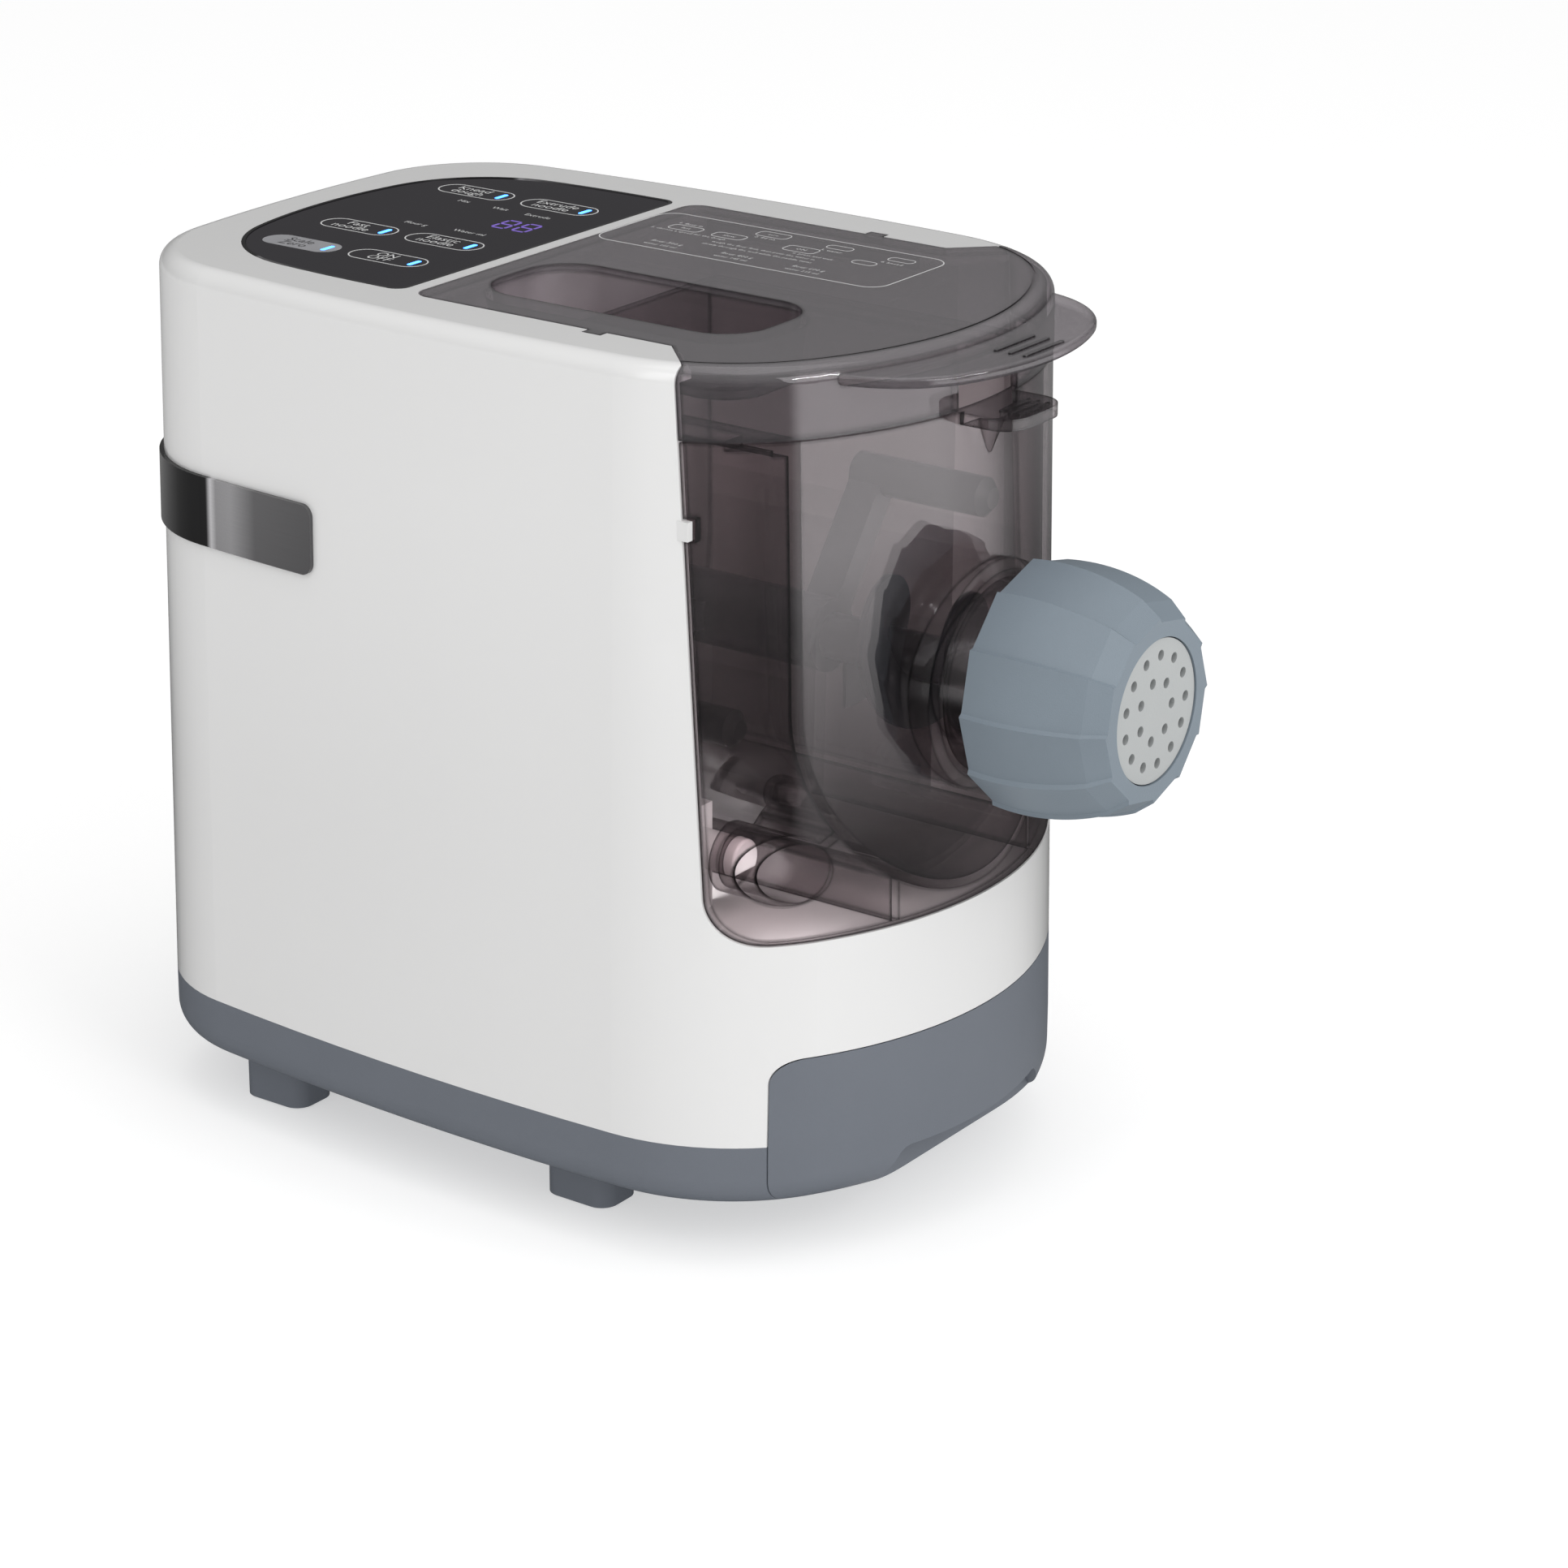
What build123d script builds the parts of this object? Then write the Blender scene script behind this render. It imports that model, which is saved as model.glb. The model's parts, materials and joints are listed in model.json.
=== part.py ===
"""Electric pasta maker: a tall housing with a drawer under a removable mixing chamber.

Frame: millimetres, +Z up, the nozzle points along -Y, the origin is on the table under
the middle of the whole footprint.  Every sub-part is written to parts/ as its own STEP.
"""
import math
import os

from build123d import *

os.makedirs("parts", exist_ok=True)

# ---- driving dimensions: the body ----
body_width = 203.0        # widest plan size, at the seam between pan and housing
body_depth = 293.0        # front centre to rear centre at the seam
top_height = 292.0        # deck, panel and lid share this level
draft_inset = 4.2         # how far the outline is drawn in from the seam to the deck
pan_bottom = 20.0         # underside of the base pan above the table
pan_seam = 42.0           # line between grey pan and white housing
front_radius = 127.4      # bulged front
front_sweep = 31.9        # half angle of the bulged front
corner_sweep = 87.2       # heading where the front corner meets the side
side_sweep = 96.1         # heading where the side meets the rear corner
rear_corner = 51.6        # rear corner radius
rear_sweep = 175.0        # heading where the rear corner meets the rear wall
wall = 2.6                # housing wall
deck_thickness = 3.0      # top of the housing
rim_round = 6.0           # soft edge round the deck
pan_wall = 2.8
pan_floor = 3.0
pan_round = 10.0          # rounded lower edge of the pan
fit_gap = 0.4             # open line between neighbouring covers
slide_gap = 0.3           # clearance of pieces that slide past each other

# ---- driving dimensions: the openings ----
sill_height = 109.0       # lower edge of the chamber window
window_edge_top = -62.1   # rear edge of the window at deck level
window_lean = 0.055       # forward lean of that edge, per millimetre of drop
window_corner = 17.0
drawer_edge = -88.5       # rear edge of the drawer front
drawer_top = 71.0
drawer_corner = 8.0
bay_half_width = 73.9     # opening between the white rims beside the lid
bay_rear = 53.6
bay_shoulder = -48.0      # where the rims start to flare to the front posts

# ---- driving dimensions: chamber, nozzle and drive ----
axis_height = 182.0       # auger, nozzle and drive shaft share this axis
drum_radius = 67.0        # inside of the mixing drum
drum_wall = 3.0
chamber_rear = 44.0       # rear face of the chamber
guide_x = 71.3            # guide pins that line up the chamber
guide_z = 132.2
plate_wall = 3.0          # moulded front plate of the chamber
nozzle_reach = 58.5       # nozzle face in front of the body
tube_bore = 24.0          # radius
tube_wall = 4.6           # wall of the nozzle tube
nut_play = 0.4            # plain bore of the nut round the tube
nut_wall = 11.0           # grip of the nut outside its bore
nut_taper = 5.4           # how much slimmer the nut's grip is in front
nut_length = 45.8
nut_lobes = 12            # flats round the nut, each ending in a step
nut_step = 1.3
die_seat = 2.6            # how far the die laps the end of the tube
die_lip = 3.7             # how far the nut laps the die
die_flange = 4.0
die_depth = 8.2           # die and its clearances, behind the nozzle face
collar_rise = 4.9         # collar of the nozzle outside the tube
sleeve_room = 3.0         # sleeves of the chamber round the guide pins
sleeve_wall = 1.8
pin_radius = 6.6
pin_flat = 3.9            # flat of the D section below the pin's axis
bush_wall = 3.0
bush_play = 0.1
hex_flats = 12.2
tenon = 9.6               # square of the auger's rear end
paddle_gap = 5.5          # between the paddle's bars and the drum
bar_radius = 6.5
auger_gap = 0.7           # between the flight and the tube
auger_core = 7.5
auger_pitch = 30.0
flight_thickness = 3.4
shaft_radius = 6.0
hub_radius = 9.9          # paddle hub where it runs in the rear bush

# ---- driving dimensions: lid ----
lid_plate = 2.7
skirt_wall = 2.5
skirt_drop = 22.4         # height of the lid's skirt
skirt_gap = 0.6           # open line between skirt and chamber
lip_reach = 22.0          # thumb lip in front of the skirt
lip_front_radius = 93.5
lip_front_sweep = 21.3
lip_side_radius = 41.2
lip_side_turn = 62.0
lip_thickness = 3.6
tongue_half_width = 15.6  # thumb tongue of the chamber, under the lip
tongue_reach = 18.2
tongue_thickness = 3.8
notch_half_width = 16.4   # finger notch in the skirt, above the tongue
notch_height = 14.6
tab_y = -20.0             # locating tabs at the lid's edges
tab_width = 7.6
tab_reach = 3.4           # how far a notch runs out from the lid's edge
notch_depth = 1.2
plunger_radius = 1.4
plunger_x = -75.3
catch_height = 239.0      # small catches on the window posts
catch_depth = 0.65        # their middle, inside the housing's outer face
catch_width = 2.4
catch_length = 5.2
catch_rise = 6.0
well_depth = 21.0
well_x = -34.0
well_y = -8.0
well_width = 49.0
well_length = 107.0
well_wall = 2.2

# ---- driving dimensions: trim, panel, drawer, feet ----
band_low = 201.6
band_high = 224.7
band_proud = 1.5
band_end = 76.3
panel_front = 58.5
panel_rear = 153.2
panel_rear_radius = 170.0
panel_rear_sweep = 12.0
panel_corner_radius = 44.5
panel_side_sweep = 84.4
panel_side_radius = 440.0
bezel_width = 1.3
glass_thickness = 1.6
board_thickness = 1.6
tray_half_width = 60.5
tray_rear = 28.0
tray_wall = 2.0
tray_corner = 4.0
foot_inset = 22.6         # outer face of a foot inside the widest body line
foot_front = -11.0
foot_rear = 119.0
foot_length = 26.0
foot_width = 19.0

# ---- gear train: 25 degree involute teeth, three reductions ----
pressure_angle = 25.0
addendum_share = 0.95     # tooth tips are stubbed a little
pinion_teeth = 12         # every pinion
first_teeth = 40
first_module = 1.25
second_teeth = 38
second_module = 1.5
output_teeth = 36
output_module = 2.0
backlash = 0.16
axle_radius = 3.0
running_fit = 0.05        # radial play of bearings and bores
second_side = -24.0       # sideways place of the second gear's axle
first_side = 7.8
case_wall = 3.0
case_room = 4.0           # space between gear tips and the case
gearbox_depth = 40.0
motor_radius = 34.0
motor_length = 52.0

# ---- places worked out from the driving dimensions ----
half_width = body_width / 2
total_depth = body_depth + nozzle_reach + band_proud
skirt_bottom = top_height - skirt_drop
chamber_top = skirt_bottom - skirt_gap
post_inner = half_width - 13.5           # where the lid's edge meets a window post
front_y = nozzle_reach - total_depth / 2
rear_y = front_y + body_depth
nozzle_face = front_y - nozzle_reach
nut_rear = nozzle_face + nut_length
draft_angle = math.degrees(math.atan(draft_inset / (top_height - pan_seam)))
nozzle_axis = Axis((0, 0, axis_height), (0, 1, 0))
liner_wall = 2.4
liner_rear = chamber_rear + 9.0          # rear face of the bay liner's back wall
liner_back = liner_rear - 3.0            # its face towards the chamber
liner_half = bay_half_width + 8.5        # outside of the liner's side walls
drum_outer = drum_radius + drum_wall
paddle_radius = drum_radius - paddle_gap - bar_radius
tube_radius = tube_bore + tube_wall
auger_radius = tube_bore - auger_gap
nut_bore = tube_radius + nut_play
nut_radius = nut_bore + nut_wall
die_radius = tube_bore + die_seat
die_face_radius = die_radius - die_lip
collar_radius = tube_radius + collar_rise
sleeve_bore = pin_radius + sleeve_room
bush_bore = hub_radius + bush_play
bush_outer = bush_bore + bush_wall


def arc_chain():
    """Radii and turns of the five tangent arcs that make half of the body outline.

    The front corner, side and rear arcs are solved so that the outline has the stated
    width and depth and closes on the centre line.
    """
    turns = [math.radians(a) for a in (front_sweep, corner_sweep, side_sweep, rear_sweep)]
    s1, s2, s3, s4 = [math.sin(t) for t in turns]
    c1, c2, c3, c4 = [math.cos(t) for t in turns]
    corner_0 = (half_width - front_radius * s1) / (s2 - s1)
    corner_1 = (1 - s2) / (s2 - s1)
    rear_0 = (half_width - rear_corner * (s3 - s4)) / s4
    rear_1 = (1 - s3) / s4
    fixed = front_radius * (1 - c1) + corner_0 * (c1 - c2)
    fixed += rear_corner * (c3 - c4) + rear_0 * (1 + c4)
    side = (body_depth - fixed) / ((c2 - c3) - corner_1 * (c1 - c2) - rear_1 * (1 + c4))
    radii = (front_radius, corner_0 - corner_1 * side, side, rear_corner, rear_0 - rear_1 * side)
    headings = (0.0, front_sweep, corner_sweep, side_sweep, rear_sweep, 180.0)
    return [(r, headings[i], headings[i + 1]) for i, r in enumerate(radii)]


def inset_at(height):
    """How far the drafted body is drawn in at a height."""
    return draft_inset * (height - pan_seam) / (top_height - pan_seam)


def half_at(y, height):
    """Half of the body's width at y, on a level."""
    inset = inset_at(height)
    at_x, at_y = 0.0, front_y + inset
    for radius, start, end in arc_chain():
        bend = radius - inset
        first, last = math.radians(start), math.radians(end)
        centre_x = at_x - bend * math.sin(first)
        centre_y = at_y + bend * math.cos(first)
        at_x = centre_x + bend * math.sin(last)
        at_y = centre_y - bend * math.cos(last)
        if y <= at_y:
            return centre_x + math.sqrt(bend**2 - (y - centre_y) ** 2)
    return 0.0


def outline(height, inset=0.0):
    """Plan outline of the body on a level, moved in by inset."""
    with BuildSketch(Plane.XY.offset(height)) as plan:
        with BuildLine():
            point = Vector(0, front_y + inset)
            for radius, start, end in arc_chain():
                heading = (math.cos(math.radians(start)), math.sin(math.radians(start)))
                arc = JernArc(point, heading, radius - inset, end - start)
                point = arc @ 1
            mirror(about=Plane.YZ)
        make_face()
    return plan.sketch


def body_block(low, high, inset=0.0):
    """The drafted body between two levels, its faces moved in by inset."""
    with BuildPart() as block:
        extrude(outline(low, inset_at(low) + inset), amount=high - low, taper=draft_angle)
    return block.part


def pan_block(low, inset, edge, rounded=True):
    """The straight-sided foot of the body from low up to the seam, its lower edge eased."""
    with BuildPart() as block:
        extrude(outline(low, inset), amount=pan_seam - low)
        if rounded:
            fillet(block.edges().group_by(Axis.Z)[0], edge)
        else:
            chamfer(block.edges().group_by(Axis.Z)[0], edge)
    return block.part


def front_plane(y):
    """Upright plane across the body at y; sketches are (x, z), extrusion runs to the front."""
    return Plane.XZ.offset(-y)


def window_line(height):
    """Rear edge of the window at a height."""
    return window_edge_top - (top_height - height) * window_lean


def window_prism(clear=0.0):
    """The space in front of the leaning window edge and above the sill."""
    low = sill_height + clear
    high = top_height + 20
    far = front_y - 40
    with BuildPart() as prism:
        with BuildSketch(Plane.YZ) as side:
            with BuildLine():
                Polyline(
                    (far, low),
                    (window_line(low) - clear, low),
                    (window_line(high) - clear, high),
                    (far, high),
                    close=True,
                )
            make_face()
            fillet(side.vertices().group_by(Axis.Y)[0].sort_by(Axis.X)[-1], window_corner - clear)
        extrude(amount=body_width, both=True)
    return prism.part


def drawer_prism(clear=0.0):
    """The space taken by the drawer front."""
    with BuildPart() as prism:
        with BuildSketch(Plane.YZ) as side:
            with BuildLine():
                Polyline(
                    (front_y - 40, pan_bottom - 5),
                    (drawer_edge - clear, pan_bottom - 5),
                    (drawer_edge - clear, drawer_top - clear),
                    (front_y - 40, drawer_top - clear),
                    close=True,
                )
            make_face()
            fillet(side.vertices().group_by(Axis.Y)[-1].sort_by(Axis.X)[-1], drawer_corner - clear)
        extrude(amount=body_width, both=True)
    return prism.part


def bay_plan(height, clear=0.0):
    """Plan of the opening for the lid: straight rims, flared to the posts in front."""
    half = bay_half_width - clear
    flare = post_inner - clear
    with BuildSketch(Plane.XY.offset(height)) as plan:
        with BuildLine():
            Polyline(
                (-half, bay_rear - clear),
                (half, bay_rear - clear),
                (half, bay_shoulder),
                (flare, window_edge_top),
                (flare, front_y - 10),
                (-flare, front_y - 10),
                (-flare, window_edge_top),
                (-half, bay_shoulder),
                close=True,
            )
        make_face()
        fillet(plan.vertices().group_by(Axis.Y)[-1], 7.0 - clear)
    return plan.sketch


def panel_plan(height, clear=0.0):
    """D-shaped plan of the control panel: square front corners, bowed sides, round rear."""
    with BuildSketch(Plane.XY.offset(height)) as plan:
        with BuildLine():
            rear = JernArc((0, panel_rear - clear), (1, 0), panel_rear_radius - clear, -panel_rear_sweep)
            turn = panel_side_sweep - panel_rear_sweep
            corner = JernArc(rear @ 1, rear % 1, panel_corner_radius - clear, -turn)
            side = JernArc(corner @ 1, corner % 1, panel_side_radius - clear, panel_side_sweep - 90)
            Polyline(side @ 1, ((side @ 1).X, panel_front + clear), (0, panel_front + clear))
            mirror(about=Plane.YZ)
        make_face()
        fillet(plan.vertices().group_by(Axis.Y)[0].sort_by(Axis.X)[-1], max(5.0 - clear, 1.0))
        fillet(plan.vertices().group_by(Axis.Y)[0].sort_by(Axis.X)[0], max(5.0 - clear, 1.0))
    return plan.sketch


def finish(builder, name):
    """Label a piece and write it."""
    builder.part.label = name
    export_step(builder.part, f"parts/{name}.step")


catch_y = window_line(catch_height)
catch_x = half_at(catch_y, catch_height) - catch_depth

# ================= housing and base =================
with BuildPart() as housing_shell:
    add(body_block(pan_seam, top_height))
    fillet(housing_shell.edges().group_by(Axis.Z)[-1], rim_round)
    add(body_block(pan_seam - 1, top_height - deck_thickness, wall), mode=Mode.SUBTRACT)
    add(window_prism(), mode=Mode.SUBTRACT)
    add(drawer_prism(), mode=Mode.SUBTRACT)
    extrude(bay_plan(top_height - 15), amount=40, mode=Mode.SUBTRACT)
    extrude(panel_plan(top_height - glass_thickness), amount=10, mode=Mode.SUBTRACT)
    extrude(panel_plan(top_height - 15, clear=6), amount=20, mode=Mode.SUBTRACT)
    # notches that take the lid's locating tabs, one with a hole for the interlock plunger
    with BuildSketch(Plane.XY.offset(top_height - notch_depth)):
        with Locations((-bay_half_width, tab_y), (bay_half_width, tab_y)):
            Rectangle(2 * tab_reach, tab_width)
    extrude(amount=5, mode=Mode.SUBTRACT)
    with BuildSketch(Plane.XY.offset(top_height - 10)):
        with Locations((plunger_x, tab_y)):
            Circle(plunger_radius + 0.35)
    extrude(amount=12, mode=Mode.SUBTRACT)
    # small catches on the window posts
    with BuildSketch(Plane.XY.offset(catch_height)):
        with Locations((-catch_x, catch_y), (catch_x, catch_y)):
            Rectangle(catch_width, catch_length)
    extrude(amount=catch_rise)
    # cooling slots low in the rear wall
    with BuildSketch(front_plane(rear_y + 8)):
        with Locations((0, pan_seam + 40)):
            with GridLocations(9, 1, 9, 1):
                SlotOverall(32, 3.2, rotation=90)
    extrude(amount=22, mode=Mode.SUBTRACT)
finish(housing_shell, "housing_shell")

with BuildPart() as base_pan:
    add(pan_block(pan_bottom, 0.0, pan_round))
    add(pan_block(pan_bottom + pan_floor, pan_wall, pan_round * 0.6, rounded=False), mode=Mode.SUBTRACT)
    # rib inside the rim, carried up as a lip that stands inside the housing wall
    extrude(outline(pan_seam - 4, pan_wall - 0.5), amount=4)
    extrude(outline(pan_seam, wall + 0.3), amount=4)
    extrude(outline(pan_seam - 7, wall + 2.3), amount=12, mode=Mode.SUBTRACT)
    add(drawer_prism(), mode=Mode.SUBTRACT)
    # cross wall behind the drawer bay, with a rib either side of the bay
    with BuildSketch(Plane.XY.offset(pan_bottom + pan_floor)):
        with Locations((0, tray_rear + 6)):
            Rectangle(2 * tray_half_width + 24, 2.2)
        with Locations((-tray_half_width - 11, -24), (tray_half_width + 11, -24)):
            Rectangle(2.2, 118)
    extrude(amount=18)
    # posts for the main board
    with BuildSketch(Plane.XY.offset(pan_bottom + pan_floor)):
        with Locations((0, 105)):
            with GridLocations(66, 76, 2, 2):
                Circle(3.5)
    extrude(amount=10)
    # cooling slots under the motor
    with BuildSketch(Plane.XY.offset(pan_bottom - 1)):
        with Locations((0, 105)):
            with GridLocations(1, 9, 1, 7):
                SlotOverall(44, 3.2)
    extrude(amount=6, mode=Mode.SUBTRACT)
    # opening for the cord gland
    with BuildSketch(front_plane(rear_y + 5)):
        with Locations((-48, pan_bottom + 11.6)):
            Circle(5.2)
    extrude(amount=14, mode=Mode.SUBTRACT)
finish(base_pan, "base_pan")

with BuildPart() as bay_liner:
    # tray-shaped inner moulding: floor, flared side walls, back wall and lid ledge
    liner_floor = sill_height - liner_wall
    with BuildSketch(Plane.XY.offset(liner_floor)):
        with BuildLine():
            Polyline(
                (-liner_half, liner_rear),
                (liner_half, liner_rear),
                (liner_half, bay_shoulder),
                (half_width + 4, window_line(sill_height) - 2),
                (half_width + 4, front_y - 5),
                (-half_width - 4, front_y - 5),
                (-half_width - 4, window_line(sill_height) - 2),
                (-liner_half, bay_shoulder),
                close=True,
            )
        make_face()
    extrude(amount=top_height - deck_thickness - liner_floor)
    with BuildSketch(Plane.XY.offset(sill_height)):
        with BuildLine():
            Polyline(
                (-liner_half + liner_wall, liner_back),
                (liner_half - liner_wall, liner_back),
                (liner_half - liner_wall, bay_shoulder - 1),
                (half_width + 2, window_line(sill_height) - 4),
                (half_width + 2, front_y - 15),
                (-half_width - 2, front_y - 15),
                (-half_width - 2, window_line(sill_height) - 4),
                (-liner_half + liner_wall, bay_shoulder - 1),
                close=True,
            )
        make_face()
    extrude(amount=top_height - deck_thickness - liner_wall - sill_height, mode=Mode.SUBTRACT)
    extrude(bay_plan(top_height - 20, clear=4.6), amount=30, mode=Mode.SUBTRACT)
    add(body_block(liner_floor - 1, top_height, wall + 0.1), mode=Mode.INTERSECT)
    add(window_prism(), mode=Mode.SUBTRACT)
    # bulkheads that carry the guide pins
    bulkhead_height = guide_z + 12 - sill_height
    bulkhead_z = sill_height + bulkhead_height / 2
    with BuildSketch(front_plane(-50)):
        with Locations((-guide_x, bulkhead_z), (guide_x, bulkhead_z)):
            Rectangle(19.5, bulkhead_height)
    extrude(amount=4)
    # hole for the shaft seal
    with BuildSketch(front_plane(liner_rear + 1)):
        with Locations((0, axis_height)):
            Circle(12.0)
    extrude(amount=8, mode=Mode.SUBTRACT)
    # guide hole for the interlock plunger, through the lid ledge
    with BuildSketch(Plane.XY.offset(top_height - 10)):
        with Locations((plunger_x, tab_y)):
            Circle(plunger_radius + 0.35)
    extrude(amount=12, mode=Mode.SUBTRACT)
finish(bay_liner, "bay_liner")

with BuildPart() as guide_pins:
    # D-section pins, flat below, that line up the chamber
    with BuildSketch(front_plane(-54)):
        with Locations((-guide_x, guide_z), (guide_x, guide_z)):
            Circle(pin_radius)
        with Locations((-guide_x, guide_z - pin_flat - 5), (guide_x, guide_z - pin_flat - 5)):
            Rectangle(16, 10, mode=Mode.SUBTRACT)
    extrude(amount=20)
    fillet(guide_pins.faces().group_by(Axis.Y)[0].edges(), 1.0)
finish(guide_pins, "guide_pins")

with BuildPart() as rear_trim_band:
    add(body_block(band_low, band_high, -band_proud))
    add(body_block(band_low - 1, band_high + 1), mode=Mode.SUBTRACT)
    with BuildPart(mode=Mode.PRIVATE) as band_side:
        with BuildSketch(Plane.YZ) as band_shape:
            with Locations(((band_end + rear_y + 20) / 2, (band_low + band_high) / 2)):
                Rectangle(rear_y + 20 - band_end, band_high - band_low)
            fillet(band_shape.vertices().group_by(Axis.X)[0], 4.0)
        extrude(amount=body_width, both=True)
    add(band_side.part, mode=Mode.INTERSECT)
finish(rear_trim_band, "rear_trim_band")

with BuildPart() as cord_gland:
    # stepped rubber bush in the pan wall, where the mains lead would enter
    gland_wall = rear_y - 5.5
    with BuildSketch(Plane.YZ.offset(-48)):
        with BuildLine():
            Polyline(
                (gland_wall - 5, pan_bottom + 11.6 + 3.4),
                (gland_wall - 5, pan_bottom + 11.6 + 6.0),
                (gland_wall - 3, pan_bottom + 11.6 + 6.0),
                (gland_wall - 3, pan_bottom + 11.6 + 4.9),
                (gland_wall + 5, pan_bottom + 11.6 + 4.9),
                (gland_wall + 5, pan_bottom + 11.6 + 3.4),
                close=True,
            )
        make_face()
    revolve(axis=Axis((-48, 0, pan_bottom + 11.6), (0, 1, 0)))
finish(cord_gland, "cord_gland")

# ================= control panel =================
glass_under = top_height - glass_thickness
with BuildPart() as panel_bezel:
    extrude(panel_plan(glass_under, clear=0.1), amount=glass_thickness)
    extrude(panel_plan(glass_under, clear=0.1 + bezel_width), amount=glass_thickness, mode=Mode.SUBTRACT)
finish(panel_bezel, "panel_bezel")

with BuildPart() as panel_glass:
    extrude(panel_plan(glass_under, clear=0.2 + bezel_width), amount=glass_thickness - 0.2)
finish(panel_glass, "panel_glass")

with BuildPart() as key_board:
    with BuildSketch(Plane.XY.offset(glass_under - board_thickness)):
        with Locations((0, 103)):
            RectangleRounded(112, 74, 22)
    extrude(amount=board_thickness)
finish(key_board, "key_board")

with BuildPart() as display_module:
    with BuildSketch(Plane.XY.offset(glass_under - board_thickness)):
        with Locations((14, 82)):
            RectangleRounded(30, 16, 1.5)
    extrude(amount=-6)
finish(display_module, "display_module")

with BuildPart() as main_board:
    with BuildSketch(Plane.XY.offset(pan_bottom + pan_floor + 10)):
        with Locations((0, 105)):
            Rectangle(76, 88)
    extrude(amount=board_thickness)
    # relay, capacitor and connector bodies
    board_top = pan_bottom + pan_floor + 10 + board_thickness
    with BuildSketch(Plane.XY.offset(board_top)):
        with Locations((-22, 82), (24, 84)):
            RectangleRounded(16, 20, 1)
        with Locations((-24, 128), (24, 128)):
            Circle(6)
    extrude(amount=8)
finish(main_board, "main_board")

# ================= feet and scale =================
foot_places = {
    "front_left": (-1, foot_front),
    "front_right": (1, foot_front),
    "rear_left": (-1, foot_rear),
    "rear_right": (1, foot_rear),
}
foot_x = half_width - foot_inset - foot_width / 2
for place, (side, foot_y) in foot_places.items():
    with BuildPart() as foot:
        # block with a small round post beside it, standing 0.8 clear of the table on its pad
        with BuildSketch(Plane.XY.offset(0.8)):
            with Locations((side * foot_x, foot_y)):
                RectangleRounded(foot_width, foot_length, 6)
            with Locations((side * (foot_x - foot_width / 2 - 3.5), foot_y - 6)):
                Circle(5.2)
        extrude(amount=pan_bottom - 0.8)
        with BuildSketch(Plane.XY.offset(0.8)):
            with Locations((side * foot_x, foot_y)):
                RectangleRounded(foot_width - 5, foot_length - 5, 4)
        extrude(amount=1.6, mode=Mode.SUBTRACT)
    finish(foot, f"foot_{place}")

    with BuildPart() as load_cell:
        # bending beam bolted to the pan over its foot
        with BuildSketch(Plane.XY.offset(pan_bottom + pan_floor)):
            with Locations((side * (foot_x + 11.5), foot_y - 5)):
                RectangleRounded(12, 30, 2)
        extrude(amount=6)
        with BuildSketch(Plane.YZ.offset(side * (foot_x + 11.5))):
            with Locations((foot_y - 5, pan_bottom + pan_floor + 3)):
                SlotOverall(14, 3.2)
        extrude(amount=10, both=True, mode=Mode.SUBTRACT)
    finish(load_cell, f"load_cell_{place}")

with BuildPart() as foot_pads:
    with BuildSketch():
        for side, foot_y in foot_places.values():
            with Locations((side * foot_x, foot_y)):
                RectangleRounded(foot_width - 5.4, foot_length - 5.4, 3.8)
    extrude(amount=2.4)
finish(foot_pads, "foot_pads")


# ================= drawer =================
def front_form(inset):
    """The body's form up to the top of the drawer, its faces moved in by inset."""
    with BuildPart() as form:
        add(pan_block(pan_bottom + inset, inset, pan_round - inset, rounded=inset < 1))
        add(body_block(pan_seam, drawer_top - inset, inset))
    return form.part


tray_front = front_y + 21.0
tray_floor = pan_bottom + pan_floor + 1.0
tray_height = drawer_top - tray_floor - 5.0


def tray_block():
    """The outside of the drawer tray, without its runners."""
    with BuildPart() as block:
        with BuildSketch(Plane.XY.offset(tray_floor)):
            with Locations((0, (tray_front + tray_rear) / 2)):
                RectangleRounded(2 * tray_half_width, tray_rear - tray_front, tray_corner)
        extrude(amount=tray_height)
    return block.part


with BuildPart() as drawer_front:
    # the body form in front of the drawer line, solid as far back as the tray
    add(front_form(0.0))
    with BuildPart(mode=Mode.PRIVATE) as wings:
        add(front_form(pan_wall))
        with BuildSketch(front_plane(0)):
            with Locations((0, drawer_top)):
                Rectangle(2 * body_width, 2 * drawer_top)
        extrude(amount=-tray_front, mode=Mode.INTERSECT)
    add(wings.part, mode=Mode.SUBTRACT)
    add(drawer_prism(fit_gap), mode=Mode.INTERSECT)
    # seat of the tray's front corners
    add(tray_block(), mode=Mode.SUBTRACT)
    # finger recess in the lower edge
    with BuildSketch(front_plane(front_y + 13)) as recess:
        with BuildLine():
            Polyline(
                (-50, pan_bottom - 3),
                (-38, pan_bottom + 13),
                (38, pan_bottom + 13),
                (50, pan_bottom - 3),
                close=True,
            )
        make_face()
        fillet(recess.vertices().group_by(Axis.Y)[-1], 6)
    extrude(amount=20, mode=Mode.SUBTRACT)
finish(drawer_front, "drawer_front")

with BuildPart() as drawer_tray:
    add(tray_block())
    tray_open = drawer_tray.faces().sort_by(Axis.Z)[-1]
    offset(amount=-tray_wall, openings=tray_open)
    # side runners
    collar_y = (tray_front + tray_rear) / 2
    with BuildSketch(Plane.XY.offset(tray_floor + 19)):
        with Locations((-tray_half_width - 1.4, collar_y), (tray_half_width + 1.4, collar_y)):
            Rectangle(3.2, tray_rear - tray_front - 18)
    extrude(amount=2.4)
    # collars that hold the spare dies
    with BuildSketch(Plane.XY.offset(tray_floor + tray_wall)):
        with Locations((0, collar_y)):
            with GridLocations(2 * tray_half_width - 62, 60, 2, 2):
                Circle(die_radius + 2.2)
                Circle(die_radius + 0.6, mode=Mode.SUBTRACT)
    extrude(amount=4)
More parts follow.
